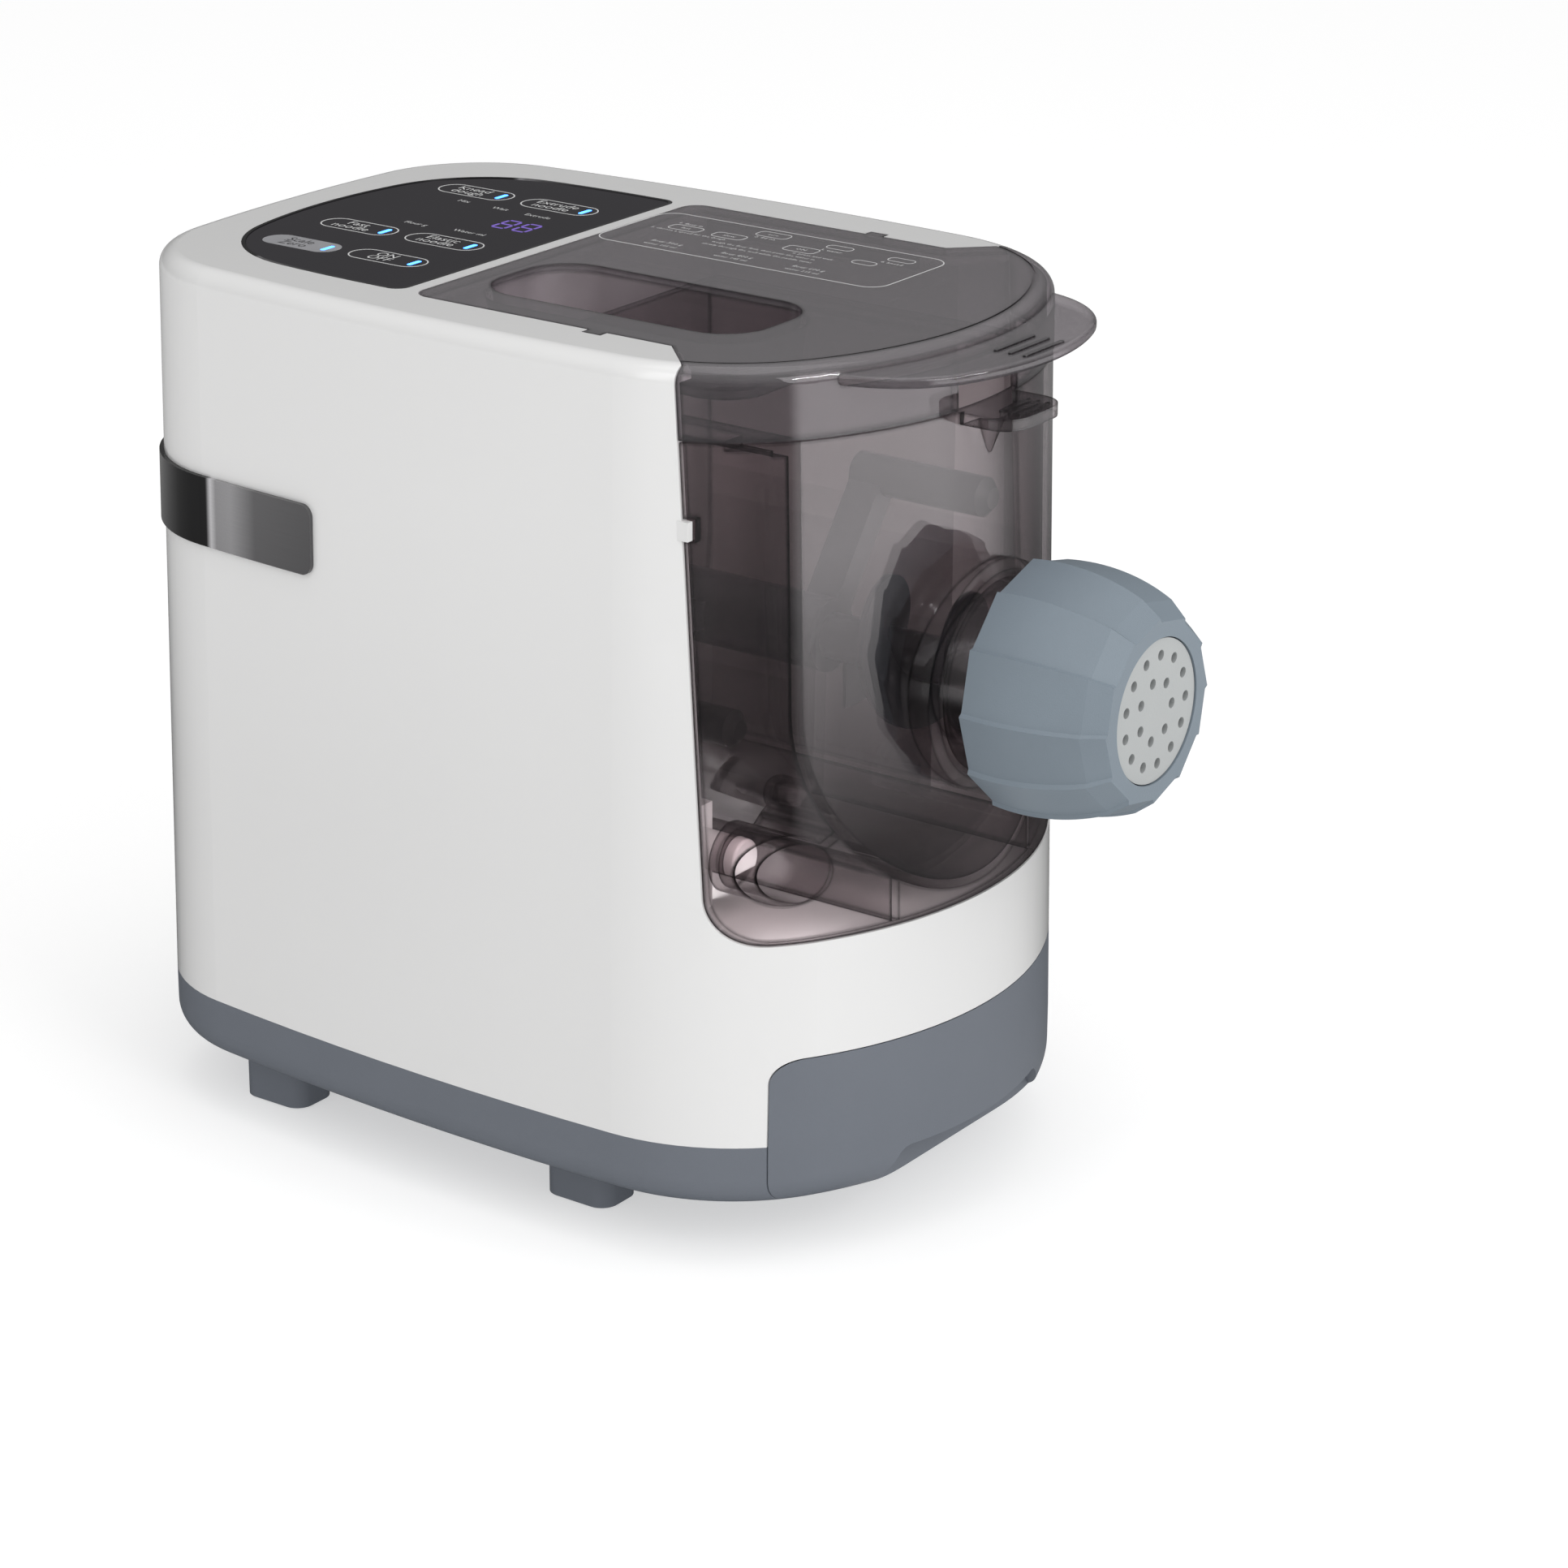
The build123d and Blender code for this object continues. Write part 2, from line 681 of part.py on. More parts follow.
finish(drawer_tray, "drawer_tray")

with BuildPart() as drawer_rails:
    # L-shaped rails under the tray's runners
    rail_length = tray_rear - tray_front - 16
    with BuildSketch(Plane.XY.offset(pan_bottom + pan_floor)):
        with Locations((-tray_half_width - 4.2, collar_y + 6), (tray_half_width + 4.2, collar_y + 6)):
            Rectangle(6.4, rail_length)
    extrude(amount=tray_floor + 19 - slide_gap - pan_bottom - pan_floor)
    add(drawer_prism(1.0), mode=Mode.SUBTRACT)
finish(drawer_rails, "drawer_rails")


def die_solid(plane, holes):
    """A flat die on a plane: flange, raised face and its pattern of openings."""
    with BuildPart() as disc:
        with BuildSketch(plane):
            Circle(die_radius)
        extrude(amount=die_flange)
        with BuildSketch(plane.offset(die_flange)):
            Circle(die_face_radius)
        extrude(amount=die_depth - die_flange - 0.6)
        with BuildSketch(plane.offset(-1)):
            if holes == "round":
                with PolarLocations(9.5, 7):
                    Circle(1.7)
                with PolarLocations(17.6, 13):
                    Circle(1.7)
            elif holes == "flat":
                with GridLocations(1, 7, 1, 5):
                    SlotOverall(30, 2.0)
            elif holes == "fine":
                with GridLocations(1, 4.2, 1, 8):
                    Rectangle(24, 1.4)
            elif holes == "sheet":
                with GridLocations(1, 14, 1, 2):
                    SlotOverall(34, 2.2)
            else:
                with PolarLocations(12.5, 8):
                    Rectangle(5.5, 2.4)
        extrude(amount=die_depth + 3, mode=Mode.SUBTRACT)
    return disc.part


with BuildPart() as drawer_sleeve:
    # ceiling, side walls and rear wall of the space the drawer runs in
    sleeve_half = tray_half_width + 11
    add(body_block(drawer_top + 0.4, drawer_top + 2.4, wall + 0.1))
    with BuildPart(mode=Mode.PRIVATE) as sleeve_box:
        with BuildSketch(Plane.XY.offset(pan_seam - 0.6)):
            with Locations((0, (drawer_edge + tray_rear + 7) / 2)):
                Rectangle(2 * sleeve_half, tray_rear + 7 - drawer_edge)
        extrude(amount=drawer_top + 1.4 - pan_seam)
        with BuildSketch(Plane.XY.offset(pan_seam - 0.6)):
            with Locations((0, (drawer_edge + tray_rear) / 2)):
                Rectangle(2 * sleeve_half - 4, tray_rear + 10 - drawer_edge)
        extrude(amount=drawer_top + 1.0 - pan_seam, mode=Mode.SUBTRACT)
    add(sleeve_box.part)
    with BuildSketch(Plane.XY.offset(pan_seam - 1)):
        with Locations((0, front_y + (tray_rear + 7 - front_y) / 2)):
            Rectangle(body_width, tray_rear + 7 - front_y)
    extrude(amount=40, mode=Mode.INTERSECT)
finish(drawer_sleeve, "drawer_sleeve")

spare_kinds = ("flat", "sheet", "square", "fine")
spare_spots = [(sx * (tray_half_width - 31), collar_y + sy * 30) for sx in (-1, 1) for sy in (-1, 1)]
for number, (kind, (spare_x, spare_y)) in enumerate(zip(spare_kinds, spare_spots), 1):
    with BuildPart() as spare_die:
        add(die_solid(Plane((spare_x, spare_y, tray_floor + tray_wall)), kind))
    finish(spare_die, f"spare_die_{number}")

# ================= mixing chamber =================
tube_end = nozzle_face + die_depth + 0.6


def drum_section(radius, high):
    """U-shaped section of the drum about the auger axis, open at the top."""
    with BuildSketch(front_plane(chamber_rear)) as section:
        with Locations((0, axis_height)):
            Circle(radius)
        with Locations((0, (axis_height + high) / 2)):
            Rectangle(2 * radius, high - axis_height)
    return section.sketch


def ring_section(points):
    """Closed profile in the upright middle plane, given as (radius, y) about the axis."""
    with BuildSketch(Plane.YZ) as section:
        with BuildLine():
            Polyline(*[(y, axis_height + radius) for radius, y in points], close=True)
        make_face()
    return section.sketch


def turned(points):
    """Solid of revolution about the auger axis."""
    with BuildPart() as body:
        add(ring_section(points))
        revolve(axis=nozzle_axis)
    return body.part


def helical_rib(root, crest, start, length, pitch, base, top):
    """Helical ridge about the auger axis that runs from start towards the front."""
    mid = Plane((0, start, axis_height), x_dir=(1, 0, 0), z_dir=(0, -1, 0))
    with BuildPart() as ridge:
        with BuildLine():
            path = Helix(pitch, length, root, center=mid.origin, direction=(0, -1, 0))
        start_plane = Plane(path @ 0, x_dir=(path @ 0) - mid.origin, z_dir=path % 0)
        height = crest - root
        with BuildSketch(start_plane):
            with BuildLine():
                Polyline((0, -base / 2), (height, -top / 2), (height, top / 2), (0, base / 2), close=True)
            make_face()
        sweep(path=path, is_frenet=True)
    return ridge.part


with BuildPart() as mixing_chamber:
    drum_length = chamber_rear - front_y
    extrude(drum_section(drum_outer, chamber_top - 3), amount=drum_length)
    # rolled rim round the drum mouth, and shelves that join it to the front plate
    with BuildSketch(Plane.XY.offset(chamber_top - 5)):
        with Locations((0, (chamber_rear + front_y) / 2)):
            Rectangle(2 * drum_outer + 7, drum_length)
    extrude(amount=5)
    with BuildSketch(Plane.XY.offset(chamber_top - 3)):
        with Locations((0, front_y + 22)):
            Rectangle(body_width, 44)
    extrude(amount=3)
    # webs from the drum to the sleeves of the guide pins
    web_angle = math.degrees(math.atan2(guide_z - axis_height, guide_x))
    with BuildSketch(front_plane(-68)):
        with Locations((-guide_x, guide_z), (guide_x, guide_z)):
            Circle(sleeve_bore + sleeve_wall)
    extrude(amount=60)
    web_end = math.hypot(guide_x, axis_height - guide_z) - sleeve_bore - 1
    with BuildSketch(front_plane(-70)):
        with Locations((0, axis_height)):
            with Locations(Location((0, 0), web_angle), Location((0, 0), 180 - web_angle)):
                with Locations(((drum_radius + 1 + web_end) / 2, 0)):
                    Rectangle(web_end - drum_radius - 1, 2.6)
    extrude(amount=40)
    # skids under the drum
    skid_x = drum_radius * 0.57
    skid_foot = sill_height + slide_gap
    skid_top = axis_height - math.sqrt(drum_radius**2 - skid_x**2) - 0.5
    with BuildSketch(front_plane(36)):
        with Locations((-skid_x, (skid_foot + skid_top) / 2), (skid_x, (skid_foot + skid_top) / 2)):
            Rectangle(2.6, skid_top - skid_foot)
    extrude(amount=drum_length)
    add(body_block(sill_height, chamber_top, plate_wall), mode=Mode.INTERSECT)
    # moulded front plate, between the posts and above the sill
    with BuildPart(mode=Mode.PRIVATE) as plate:
        add(body_block(sill_height + fit_gap, chamber_top, 0.3))
        add(body_block(sill_height - 5, chamber_top + 5, 0.3 + plate_wall), mode=Mode.SUBTRACT)
        add(window_prism(fit_gap), mode=Mode.INTERSECT)
        with BuildSketch(Plane.XY.offset(catch_height - 0.6)):
            with Locations((-catch_x, catch_y), (catch_x, catch_y)):
                Rectangle(catch_width + 5.6, catch_length + 1.8)
        extrude(amount=catch_rise + 1.2, mode=Mode.SUBTRACT)
    add(plate.part)
    # flange and double-walled collar of the nozzle
    flange_radius = collar_radius + 3.1
    collar_inner = collar_radius - 2.3
    add(turned([
        (tube_bore - 4, front_y + 14),
        (flange_radius, front_y + 14),
        (flange_radius, front_y + 0.6),
        (collar_radius, front_y - 1.2),
        (collar_radius, nut_rear + 1),
        (collar_inner, nut_rear + 1),
        (collar_inner, front_y - 1),
        (tube_radius, front_y - 1),
        (tube_radius, tube_end),
        (tube_bore - 4, tube_end),
    ]))
    # open out the drum and the tube
    with BuildPart(mode=Mode.PRIVATE) as drum_room:
        extrude(drum_section(drum_radius, chamber_top + 5), amount=drum_length)
        add(body_block(sill_height, chamber_top + 5, 0.3 + plate_wall), mode=Mode.INTERSECT)
        with BuildSketch(front_plane(chamber_rear - drum_wall)):
            with Locations((0, axis_height)):
                Rectangle(body_width, 400)
        extrude(amount=drum_length + 50, mode=Mode.INTERSECT)
    add(drum_room.part, mode=Mode.SUBTRACT)
    with BuildSketch(front_plane(front_y + 20)):
        with Locations((0, axis_height)):
            Circle(tube_bore)
    extrude(amount=80, mode=Mode.SUBTRACT)
    # hole for the rear bush
    with BuildSketch(front_plane(chamber_rear + 1)):
        with Locations((0, axis_height)):
            Circle(bush_outer)
    extrude(amount=8, mode=Mode.SUBTRACT)
    # open the sleeves to the front, with a D-shaped hole at their rear end
    with BuildSketch(front_plane(-70.4)):
        with Locations((-guide_x, guide_z), (guide_x, guide_z)):
            Circle(sleeve_bore)
    extrude(amount=60, mode=Mode.SUBTRACT)
    with BuildSketch(front_plane(-60)):
        with Locations((-guide_x, guide_z), (guide_x, guide_z)):
            Circle(pin_radius + slide_gap)
        flat_z = guide_z - pin_flat - slide_gap - 5
        with Locations((-guide_x, flat_z), (guide_x, flat_z)):
            Rectangle(20, 10, mode=Mode.SUBTRACT)
    extrude(amount=14, mode=Mode.SUBTRACT)
    # thumb tongue level with the top of the plate, over a tapering half-round gusset
    skin_y = front_y + inset_at(chamber_top)
    tongue_base = chamber_top - tongue_thickness
    with BuildSketch(Plane.XY.offset(tongue_base)) as tongue_plan:
        with Locations((0, skin_y + 1 - (tongue_reach + 1) / 2)):
            Rectangle(2 * tongue_half_width, tongue_reach + 1)
        fillet(tongue_plan.vertices().group_by(Axis.Y)[0], 9)
    extrude(amount=tongue_thickness)
    with BuildPart(mode=Mode.PRIVATE) as gusset:
        with BuildSketch(Plane.XY.offset(tongue_base - 12)):
            with Locations((0, skin_y + 2.2)):
                Circle(2.4)
        with BuildSketch(Plane.XY.offset(tongue_base + 1)):
            with Locations((0, skin_y + 1.2)):
                Circle(6.4)
        loft()
        add(body_block(sill_height, chamber_top, plate_wall), mode=Mode.SUBTRACT)
    add(gusset.part)
    # grip ridges on the tongue
    with BuildSketch(Plane.XY.offset(chamber_top)):
        with Locations((0, skin_y - 12)):
            with GridLocations(1, 3.4, 1, 3):
                SlotOverall(17, 1.2)
    extrude(amount=0.6)
finish(mixing_chamber, "mixing_chamber")

with BuildPart() as chamber_bushing:
    add(turned([
        (bush_bore, chamber_rear - 6),
        (bush_outer, chamber_rear - 6),
        (bush_outer, chamber_rear),
        (bush_outer + 3, chamber_rear),
        (bush_outer + 3, chamber_rear + 2),
        (bush_bore, chamber_rear + 2),
    ]))
finish(chamber_bushing, "chamber_bushing")

# ================= nozzle: die and locking nut =================
die_rear = nozzle_face + die_depth
with BuildPart() as die:
    add(die_solid(Plane((0, die_rear, axis_height), x_dir=(1, 0, 0), z_dir=(0, -1, 0)), "round"))
finish(die, "die")


def nut_section(y, radius):
    """Outline of the nut's grip at y: flats that each end in a soft step."""
    lobe_turn = 2 * math.pi / nut_lobes
    points = []
    for lobe in range(nut_lobes):
        start = lobe * lobe_turn
        end = start + lobe_turn * 0.95
        points.append((radius * math.cos(start), radius * math.sin(start)))
        points.append(((radius - nut_step) * math.cos(end), (radius - nut_step) * math.sin(end)))
    with BuildSketch(front_plane(y)) as section:
        with Locations((0, axis_height)):
            Polygon(*points, align=None)
    return section.sketch


with BuildPart() as locking_nut:
    # bowed grip, then a bevel down to the face
    nut_shoulder = nozzle_face + 6.5
    for y, radius in (
        (nut_rear, nut_radius),
        (nut_rear - nut_length * 0.28, nut_radius + 0.6),
        (nut_rear - nut_length * 0.58, nut_radius - 1.2),
        (nut_shoulder, nut_radius - nut_taper),
    ):
        add(nut_section(y, radius))
    loft()
    with BuildPart(mode=Mode.PRIVATE) as bevel:
        add(nut_section(nut_shoulder, nut_radius - nut_taper))
        add(nut_section(nozzle_face, nut_radius - nut_taper - 4.8))
        loft(ruled=True)
    add(bevel.part)
    # bore over the tube, pocket for the die and opening for its face
    pocket_end = die_rear - die_flange - 0.3
    add(turned([
        (0, nut_rear + 1),
        (nut_bore, nut_rear + 1),
        (nut_bore, tube_end - 0.3),
        (die_radius + 0.4, tube_end - 0.3),
        (die_radius + 0.4, pocket_end),
        (die_face_radius + 0.4, pocket_end),
        (die_face_radius + 0.4, nozzle_face - 1),
        (0, nozzle_face - 1),
    ]), mode=Mode.SUBTRACT)
finish(locking_nut, "locking_nut")

# ================= paddle and auger =================
hub_front = -56.0


def round_bar(angle, rear, front):
    """Bar of the paddle, bevelled at its front end."""
    with BuildPart() as bar:
        with BuildSketch(front_plane(rear)):
            with Locations((0, axis_height)):
                with Locations(Location((0, 0), angle)):
                    with Locations((paddle_radius, 0)):
                        Circle(bar_radius)
        extrude(amount=rear - front)
        chamfer(bar.faces().sort_by(Axis.Y)[0].edges(), 3.0)
    return bar.part


with BuildPart() as mixing_paddle:
    shoulder = chamber_rear - 6.4
    add(turned([(0, hub_front), (12, hub_front), (12, shoulder), (hub_radius, shoulder),
                (hub_radius, chamber_rear + 4), (0, chamber_rear + 4)]))
    # three arms, each with a round bar that sweeps the drum wall
    for arm_angle, arm_y, bar_from, bar_to in ((54, -50, -95, -44), (174, -8, -34, 6), (294, 24, -4, 34)):
        with BuildSketch(front_plane(arm_y + 6)):
            with Locations((0, axis_height)):
                with Locations(Location((0, 0), arm_angle)):
                    with Locations((paddle_radius / 2 + 3, 0)):
                        Rectangle(paddle_radius - 6, 9)
        extrude(amount=12)
        add(round_bar(arm_angle, bar_to, bar_from))
    # hexagon socket for the drive shaft and square socket for the auger
    with BuildSketch(front_plane(chamber_rear + 5)):
        with Locations((0, axis_height)):
            RegularPolygon(hex_flats / 2 + 0.15, 6, major_radius=False)
    extrude(amount=chamber_rear + 5 - 22, mode=Mode.SUBTRACT)
    with BuildSketch(front_plane(hub_front + 12)):
        with Locations((0, axis_height)):
            Rectangle(tenon + 0.2, tenon + 0.2)
    extrude(amount=14, mode=Mode.SUBTRACT)
finish(mixing_paddle, "mixing_paddle")

with BuildPart() as auger:
    auger_end = tube_end + 4.0
    with BuildSketch(front_plane(hub_front - 0.2)):
        with Locations((0, axis_height)):
            Circle(auger_core)
    extrude(amount=hub_front - 0.2 - auger_end)
    with BuildSketch(front_plane(hub_front + 11.6)):
        with Locations((0, axis_height)):
            Rectangle(tenon, tenon)
    extrude(amount=14)
    add(helical_rib(auger_core - 0.5, auger_radius, hub_front - 5.0, hub_front - 9.0 - auger_end,
                    auger_pitch, flight_thickness, flight_thickness - 1.2))
finish(auger, "auger")

# ================= gearbox =================
gear_1_2 = (first_teeth + pinion_teeth) * first_module / 2
gear_2_3 = (second_teeth + pinion_teeth) * second_module / 2
gear_3_4 = (output_teeth + pinion_teeth) * output_module / 2
second_axis = (second_side, axis_height - math.sqrt(gear_3_4**2 - second_side**2))
first_axis = (first_side, second_axis[1] - math.sqrt(gear_2_3**2 - (first_side - second_side) ** 2))
motor_axis = (0.0, first_axis[1] - math.sqrt(gear_1_2**2 - first_side**2))
output_axis = (0.0, axis_height)
case_front = liner_rear + 3.0
case_rear = case_front + gearbox_depth


def heading(start, end):
    """Angle from one axle to another, seen from the front."""
    return math.degrees(math.atan2(end[1] - start[1], end[0] - start[0]))


def tooth_points(place, teeth, module, phase):
    """Outline of a gear: six corners for each tooth, on the root, pitch and tip circles."""
    pitch = teeth * module / 2
    flat = math.radians(pressure_angle)
    base = pitch * math.cos(flat)
    root = pitch - 1.25 * module
    tip = pitch + addendum_share * module
    pitch_half = (math.pi / 2 - backlash / module) / teeth
    inner_angle = math.acos(min(1.0, base / max(root, base)))
    root_half = pitch_half + math.tan(flat) - flat - math.tan(inner_angle) + inner_angle
    outer_angle = math.acos(base / tip)
    tip_half = pitch_half + math.tan(flat) - flat - math.tan(outer_angle) + outer_angle
    corners = [(root, -root_half), (pitch, -pitch_half), (tip, -tip_half)]
    corners += [(tip, tip_half), (pitch, pitch_half), (root, root_half)]
    points = []
    for number in range(teeth):
        turn = math.radians(phase + 360 * number / teeth)
        for radius, angle in corners:
            x = place[0] + radius * math.cos(turn + angle)
            z = place[1] + radius * math.sin(turn + angle)
            points.append((x, z))
    return points


def gear_solid(place, rear, front, teeth, module, phase):
    """Spur gear about an axle between two levels of y."""
    with BuildPart() as gear:
        with BuildSketch(front_plane(rear)):
            with BuildLine():
                Polyline(*tooth_points(place, teeth, module, phase), close=True)
            make_face()
        extrude(amount=rear - front)
    return gear.part


case_circles = (
    (output_axis, output_teeth * output_module / 2 + output_module + case_room),
    (second_axis, second_teeth * second_module / 2 + second_module + case_room),
    (first_axis, first_teeth * first_module / 2 + first_module + case_room),
    (motor_axis, 22.0),
)


def case_plan(y, extra):
    """Outline of the gear case: a taut line round all the axles."""
    with BuildSketch(front_plane(y)) as plan:
        for place, radius in case_circles:
            with Locations(place):
                Circle(radius + extra)
        make_hull()
    return plan.sketch


with BuildPart() as gearbox_case:
    extrude(case_plan(case_rear, 0), amount=gearbox_depth)
    extrude(case_plan(case_rear - case_wall, -case_wall), amount=gearbox_depth, mode=Mode.SUBTRACT)
    # seat of the rear shaft bearing, with ribs to the wall
    with BuildSketch(front_plane(case_rear - 1)):
        with Locations(output_axis):
            Circle(17)
            Rectangle(2.4, 60)
            Rectangle(60, 2.4)
    extrude(amount=9.5)
    with BuildSketch(front_plane(case_rear + 1)):
        with Locations(output_axis):
            Circle(14)
    extrude(amount=9.5, mode=Mode.SUBTRACT)
    with BuildSketch(front_plane(case_rear + 1)):
        with Locations(output_axis):
            Circle(9)
    extrude(amount=16, mode=Mode.SUBTRACT)
    # hole for the motor's neck
    with BuildSketch(front_plane(case_rear + 1)):
        with Locations(motor_axis):
            Circle(12)
    extrude(amount=8, mode=Mode.SUBTRACT)
finish(gearbox_case, "gearbox_case")

with BuildPart() as gearbox_cover:
    extrude(case_plan(case_front, 0), amount=3.0)
    with BuildSketch(front_plane(case_front + 4.6)):
        with Locations(output_axis):
            Circle(17)
    extrude(amount=5)
    with BuildSketch(front_plane(case_front + 5)):
        with Locations(output_axis):
            Circle(14)
    extrude(amount=7, mode=Mode.SUBTRACT)
    with BuildSketch(front_plane(case_front + 6)):
        with Locations(output_axis):
            Circle(9)
    extrude(amount=12, mode=Mode.SUBTRACT)
finish(gearbox_cover, "gearbox_cover")

with BuildPart() as gear_axles:
    for place in (first_axis, second_axis):
        with BuildSketch(front_plane(case_rear - case_wall)):
            with Locations(place):
                Circle(axle_radius)
        extrude(amount=gearbox_depth - case_wall)
finish(gear_axles, "gear_axles")

for place, bearing_rear in (("front", case_front + 5), ("rear", case_rear - 0.5)):
    with BuildPart() as shaft_bearing:
        # inner ring, outer ring and a recessed shield
        add(turned([(shaft_radius, bearing_rear), (9, bearing_rear), (9, bearing_rear - 0.6),
                    (11.4, bearing_rear - 0.6), (11.4, bearing_rear), (14, bearing_rear),
                    (14, bearing_rear - 7), (11.4, bearing_rear - 7), (11.4, bearing_rear - 6.4),
                    (9, bearing_rear - 6.4), (9, bearing_rear - 7), (shaft_radius, bearing_rear - 7)]))
    finish(shaft_bearing, f"shaft_bearing_{place}")

with BuildPart() as shaft_seal:
    add(turned([(shaft_radius, liner_back), (12, liner_back), (12, liner_rear), (10, liner_rear),
                (10, liner_back + 1.2), (shaft_radius + 1.2, liner_back + 1.2),
                (shaft_radius + 1.2, liner_rear - 0.4), (shaft_radius, liner_rear - 0.4)]))
finish(shaft_seal, "shaft_seal")

output_rear = case_front + 17.0
with BuildPart() as output_gear:
    second_heading = heading(second_axis, output_axis)
    add(gear_solid(output_axis, output_rear, output_rear - 11.5, output_teeth, output_module,
                   second_heading + 180 + 180 / output_teeth))
    # lightening ring on the front face
    with BuildSketch(front_plane(output_rear - 8)):
        with Locations(output_axis):
            Circle(29)
            Circle(13, mode=Mode.SUBTRACT)
    extrude(amount=10, mode=Mode.SUBTRACT)
    with BuildSketch(front_plane(output_rear + 1)):
        with Locations(output_axis):
            Circle(shaft_radius - running_fit)
    extrude(amount=16, mode=Mode.SUBTRACT)
finish(output_gear, "output_gear")

with BuildPart() as drive_shaft:
    hex_start = chamber_rear + 5.5
    with BuildSketch(front_plane(case_rear - 1)):
        with Locations(output_axis):
            Circle(shaft_radius - running_fit)
    extrude(amount=case_rear - 1 - hex_start)
    with BuildSketch(front_plane(hex_start)):
        with Locations(output_axis):
            RegularPolygon(hex_flats / 2 - 0.25, 6, major_radius=False)
    extrude(amount=hex_start - 24)
finish(drive_shaft, "drive_shaft")

with BuildPart() as gear_second:
    step = output_rear + 1.2
    first_heading = heading(first_axis, second_axis)
    add(gear_solid(second_axis, step + 7, step, second_teeth, second_module,
                   first_heading + 180 + 180 / second_teeth))
    add(gear_solid(second_axis, step, step - 13, pinion_teeth, output_module, second_heading))
    with BuildSketch(front_plane(step + 8)):
        with Locations(second_axis):
            Circle(axle_radius + running_fit)
    extrude(amount=24, mode=Mode.SUBTRACT)
finish(gear_second, "gear_second")

with BuildPart() as gear_first:
    step_1 = step + 9.0
    motor_heading = heading(motor_axis, first_axis)
    add(gear_solid(first_axis, step_1 + 6, step_1, first_teeth, first_module,
                   motor_heading + 180 + 180 / first_teeth))
    add(gear_solid(first_axis, step_1, step_1 - 10, pinion_teeth, second_module, first_heading))
    with BuildSketch(front_plane(step_1 + 7)):
        with Locations(first_axis):
            Circle(axle_radius + running_fit)
    extrude(amount=20, mode=Mode.SUBTRACT)
finish(gear_first, "gear_first")

# ================= motor =================
motor_front = case_rear
motor_rear = motor_front + motor_length


def motor_ring(y, length, outer, inner):
    """A plain ring about the motor axis that runs from y towards the front."""
    with BuildPart() as ring:
        with BuildSketch(front_plane(y)):
            with Locations(motor_axis):
                Circle(outer)
                Circle(inner, mode=Mode.SUBTRACT)
        extrude(amount=length)
    return ring.part


with BuildPart() as motor_can:
    add(motor_ring(motor_rear, motor_length, motor_radius, motor_radius - 1.6))
    add(motor_ring(motor_front + 2.0, 2.0, motor_radius, 7.5))
    # cooling windows
    with BuildSketch(Plane.XY.offset(motor_axis[1] - motor_radius - 2)):
        with Locations((0, motor_rear - 9)):
            Rectangle(26, 7)
    extrude(amount=2 * motor_radius + 4, mode=Mode.SUBTRACT)
finish(motor_can, "motor_can")

with BuildPart() as motor_end_bell:
    add(motor_ring(motor_rear + 4.0, 4.0, motor_radius, 8.0))
    with BuildSketch(front_plane(motor_rear + 5)):
        with Locations(motor_axis):
            with PolarLocations(20, 6):
                SlotOverall(14, 6, rotation=90)
    extrude(amount=6, mode=Mode.SUBTRACT)
finish(motor_end_bell, "motor_end_bell")

for place, bearing_rear in (("front", motor_front + 5.0), ("rear", motor_rear + 4.0)):
    with BuildPart() as motor_bearing:
        outer = 7.5 if place == "front" else 8.0
        add(motor_ring(bearing_rear, 5.0, outer, axle_radius))
    finish(motor_bearing, f"motor_bearing_{place}")

with BuildPart() as motor_stator:
    add(motor_ring(motor_rear - 14, 30, motor_radius - 1.6, motor_radius - 8))
finish(motor_stator, "motor_stator")

with BuildPart() as armature:
    add(motor_ring(motor_rear + 16, motor_rear + 16 - (step_1 - 1), axle_radius - running_fit, 1.0))
    with BuildSketch(front_plane(motor_rear - 12)):
        with Locations(motor_axis):
            Circle(motor_radius - 8.6)
            with PolarLocations(motor_radius - 10, 10):
                Rectangle(7, 2.4, mode=Mode.SUBTRACT)
            Circle(axle_radius - running_fit, mode=Mode.SUBTRACT)
    extrude(amount=32)
finish(armature, "armature")

with BuildPart() as motor_pinion:
    add(gear_solid(motor_axis, step_1 + 6.5, step_1 - 0.5, pinion_teeth, first_module, motor_heading))
    with BuildSketch(front_plane(step_1 + 8)):
        with Locations(motor_axis):
            Circle(axle_radius - running_fit)
    extrude(amount=12, mode=Mode.SUBTRACT)
finish(motor_pinion, "motor_pinion")

with BuildPart() as cooling_fan:
    add(motor_ring(motor_rear + 14, 8, 7, axle_radius - running_fit))
    with BuildSketch(front_plane(motor_rear + 14)):
        with Locations(motor_axis):
            with PolarLocations(17, 8):
                Rectangle(22, 1.6, rotation=20)
            Circle(axle_radius - running_fit, mode=Mode.SUBTRACT)
    extrude(amount=7)
    add(motor_ring(motor_rear + 8.0, 1.6, 27, axle_radius - running_fit))
finish(cooling_fan, "cooling_fan")

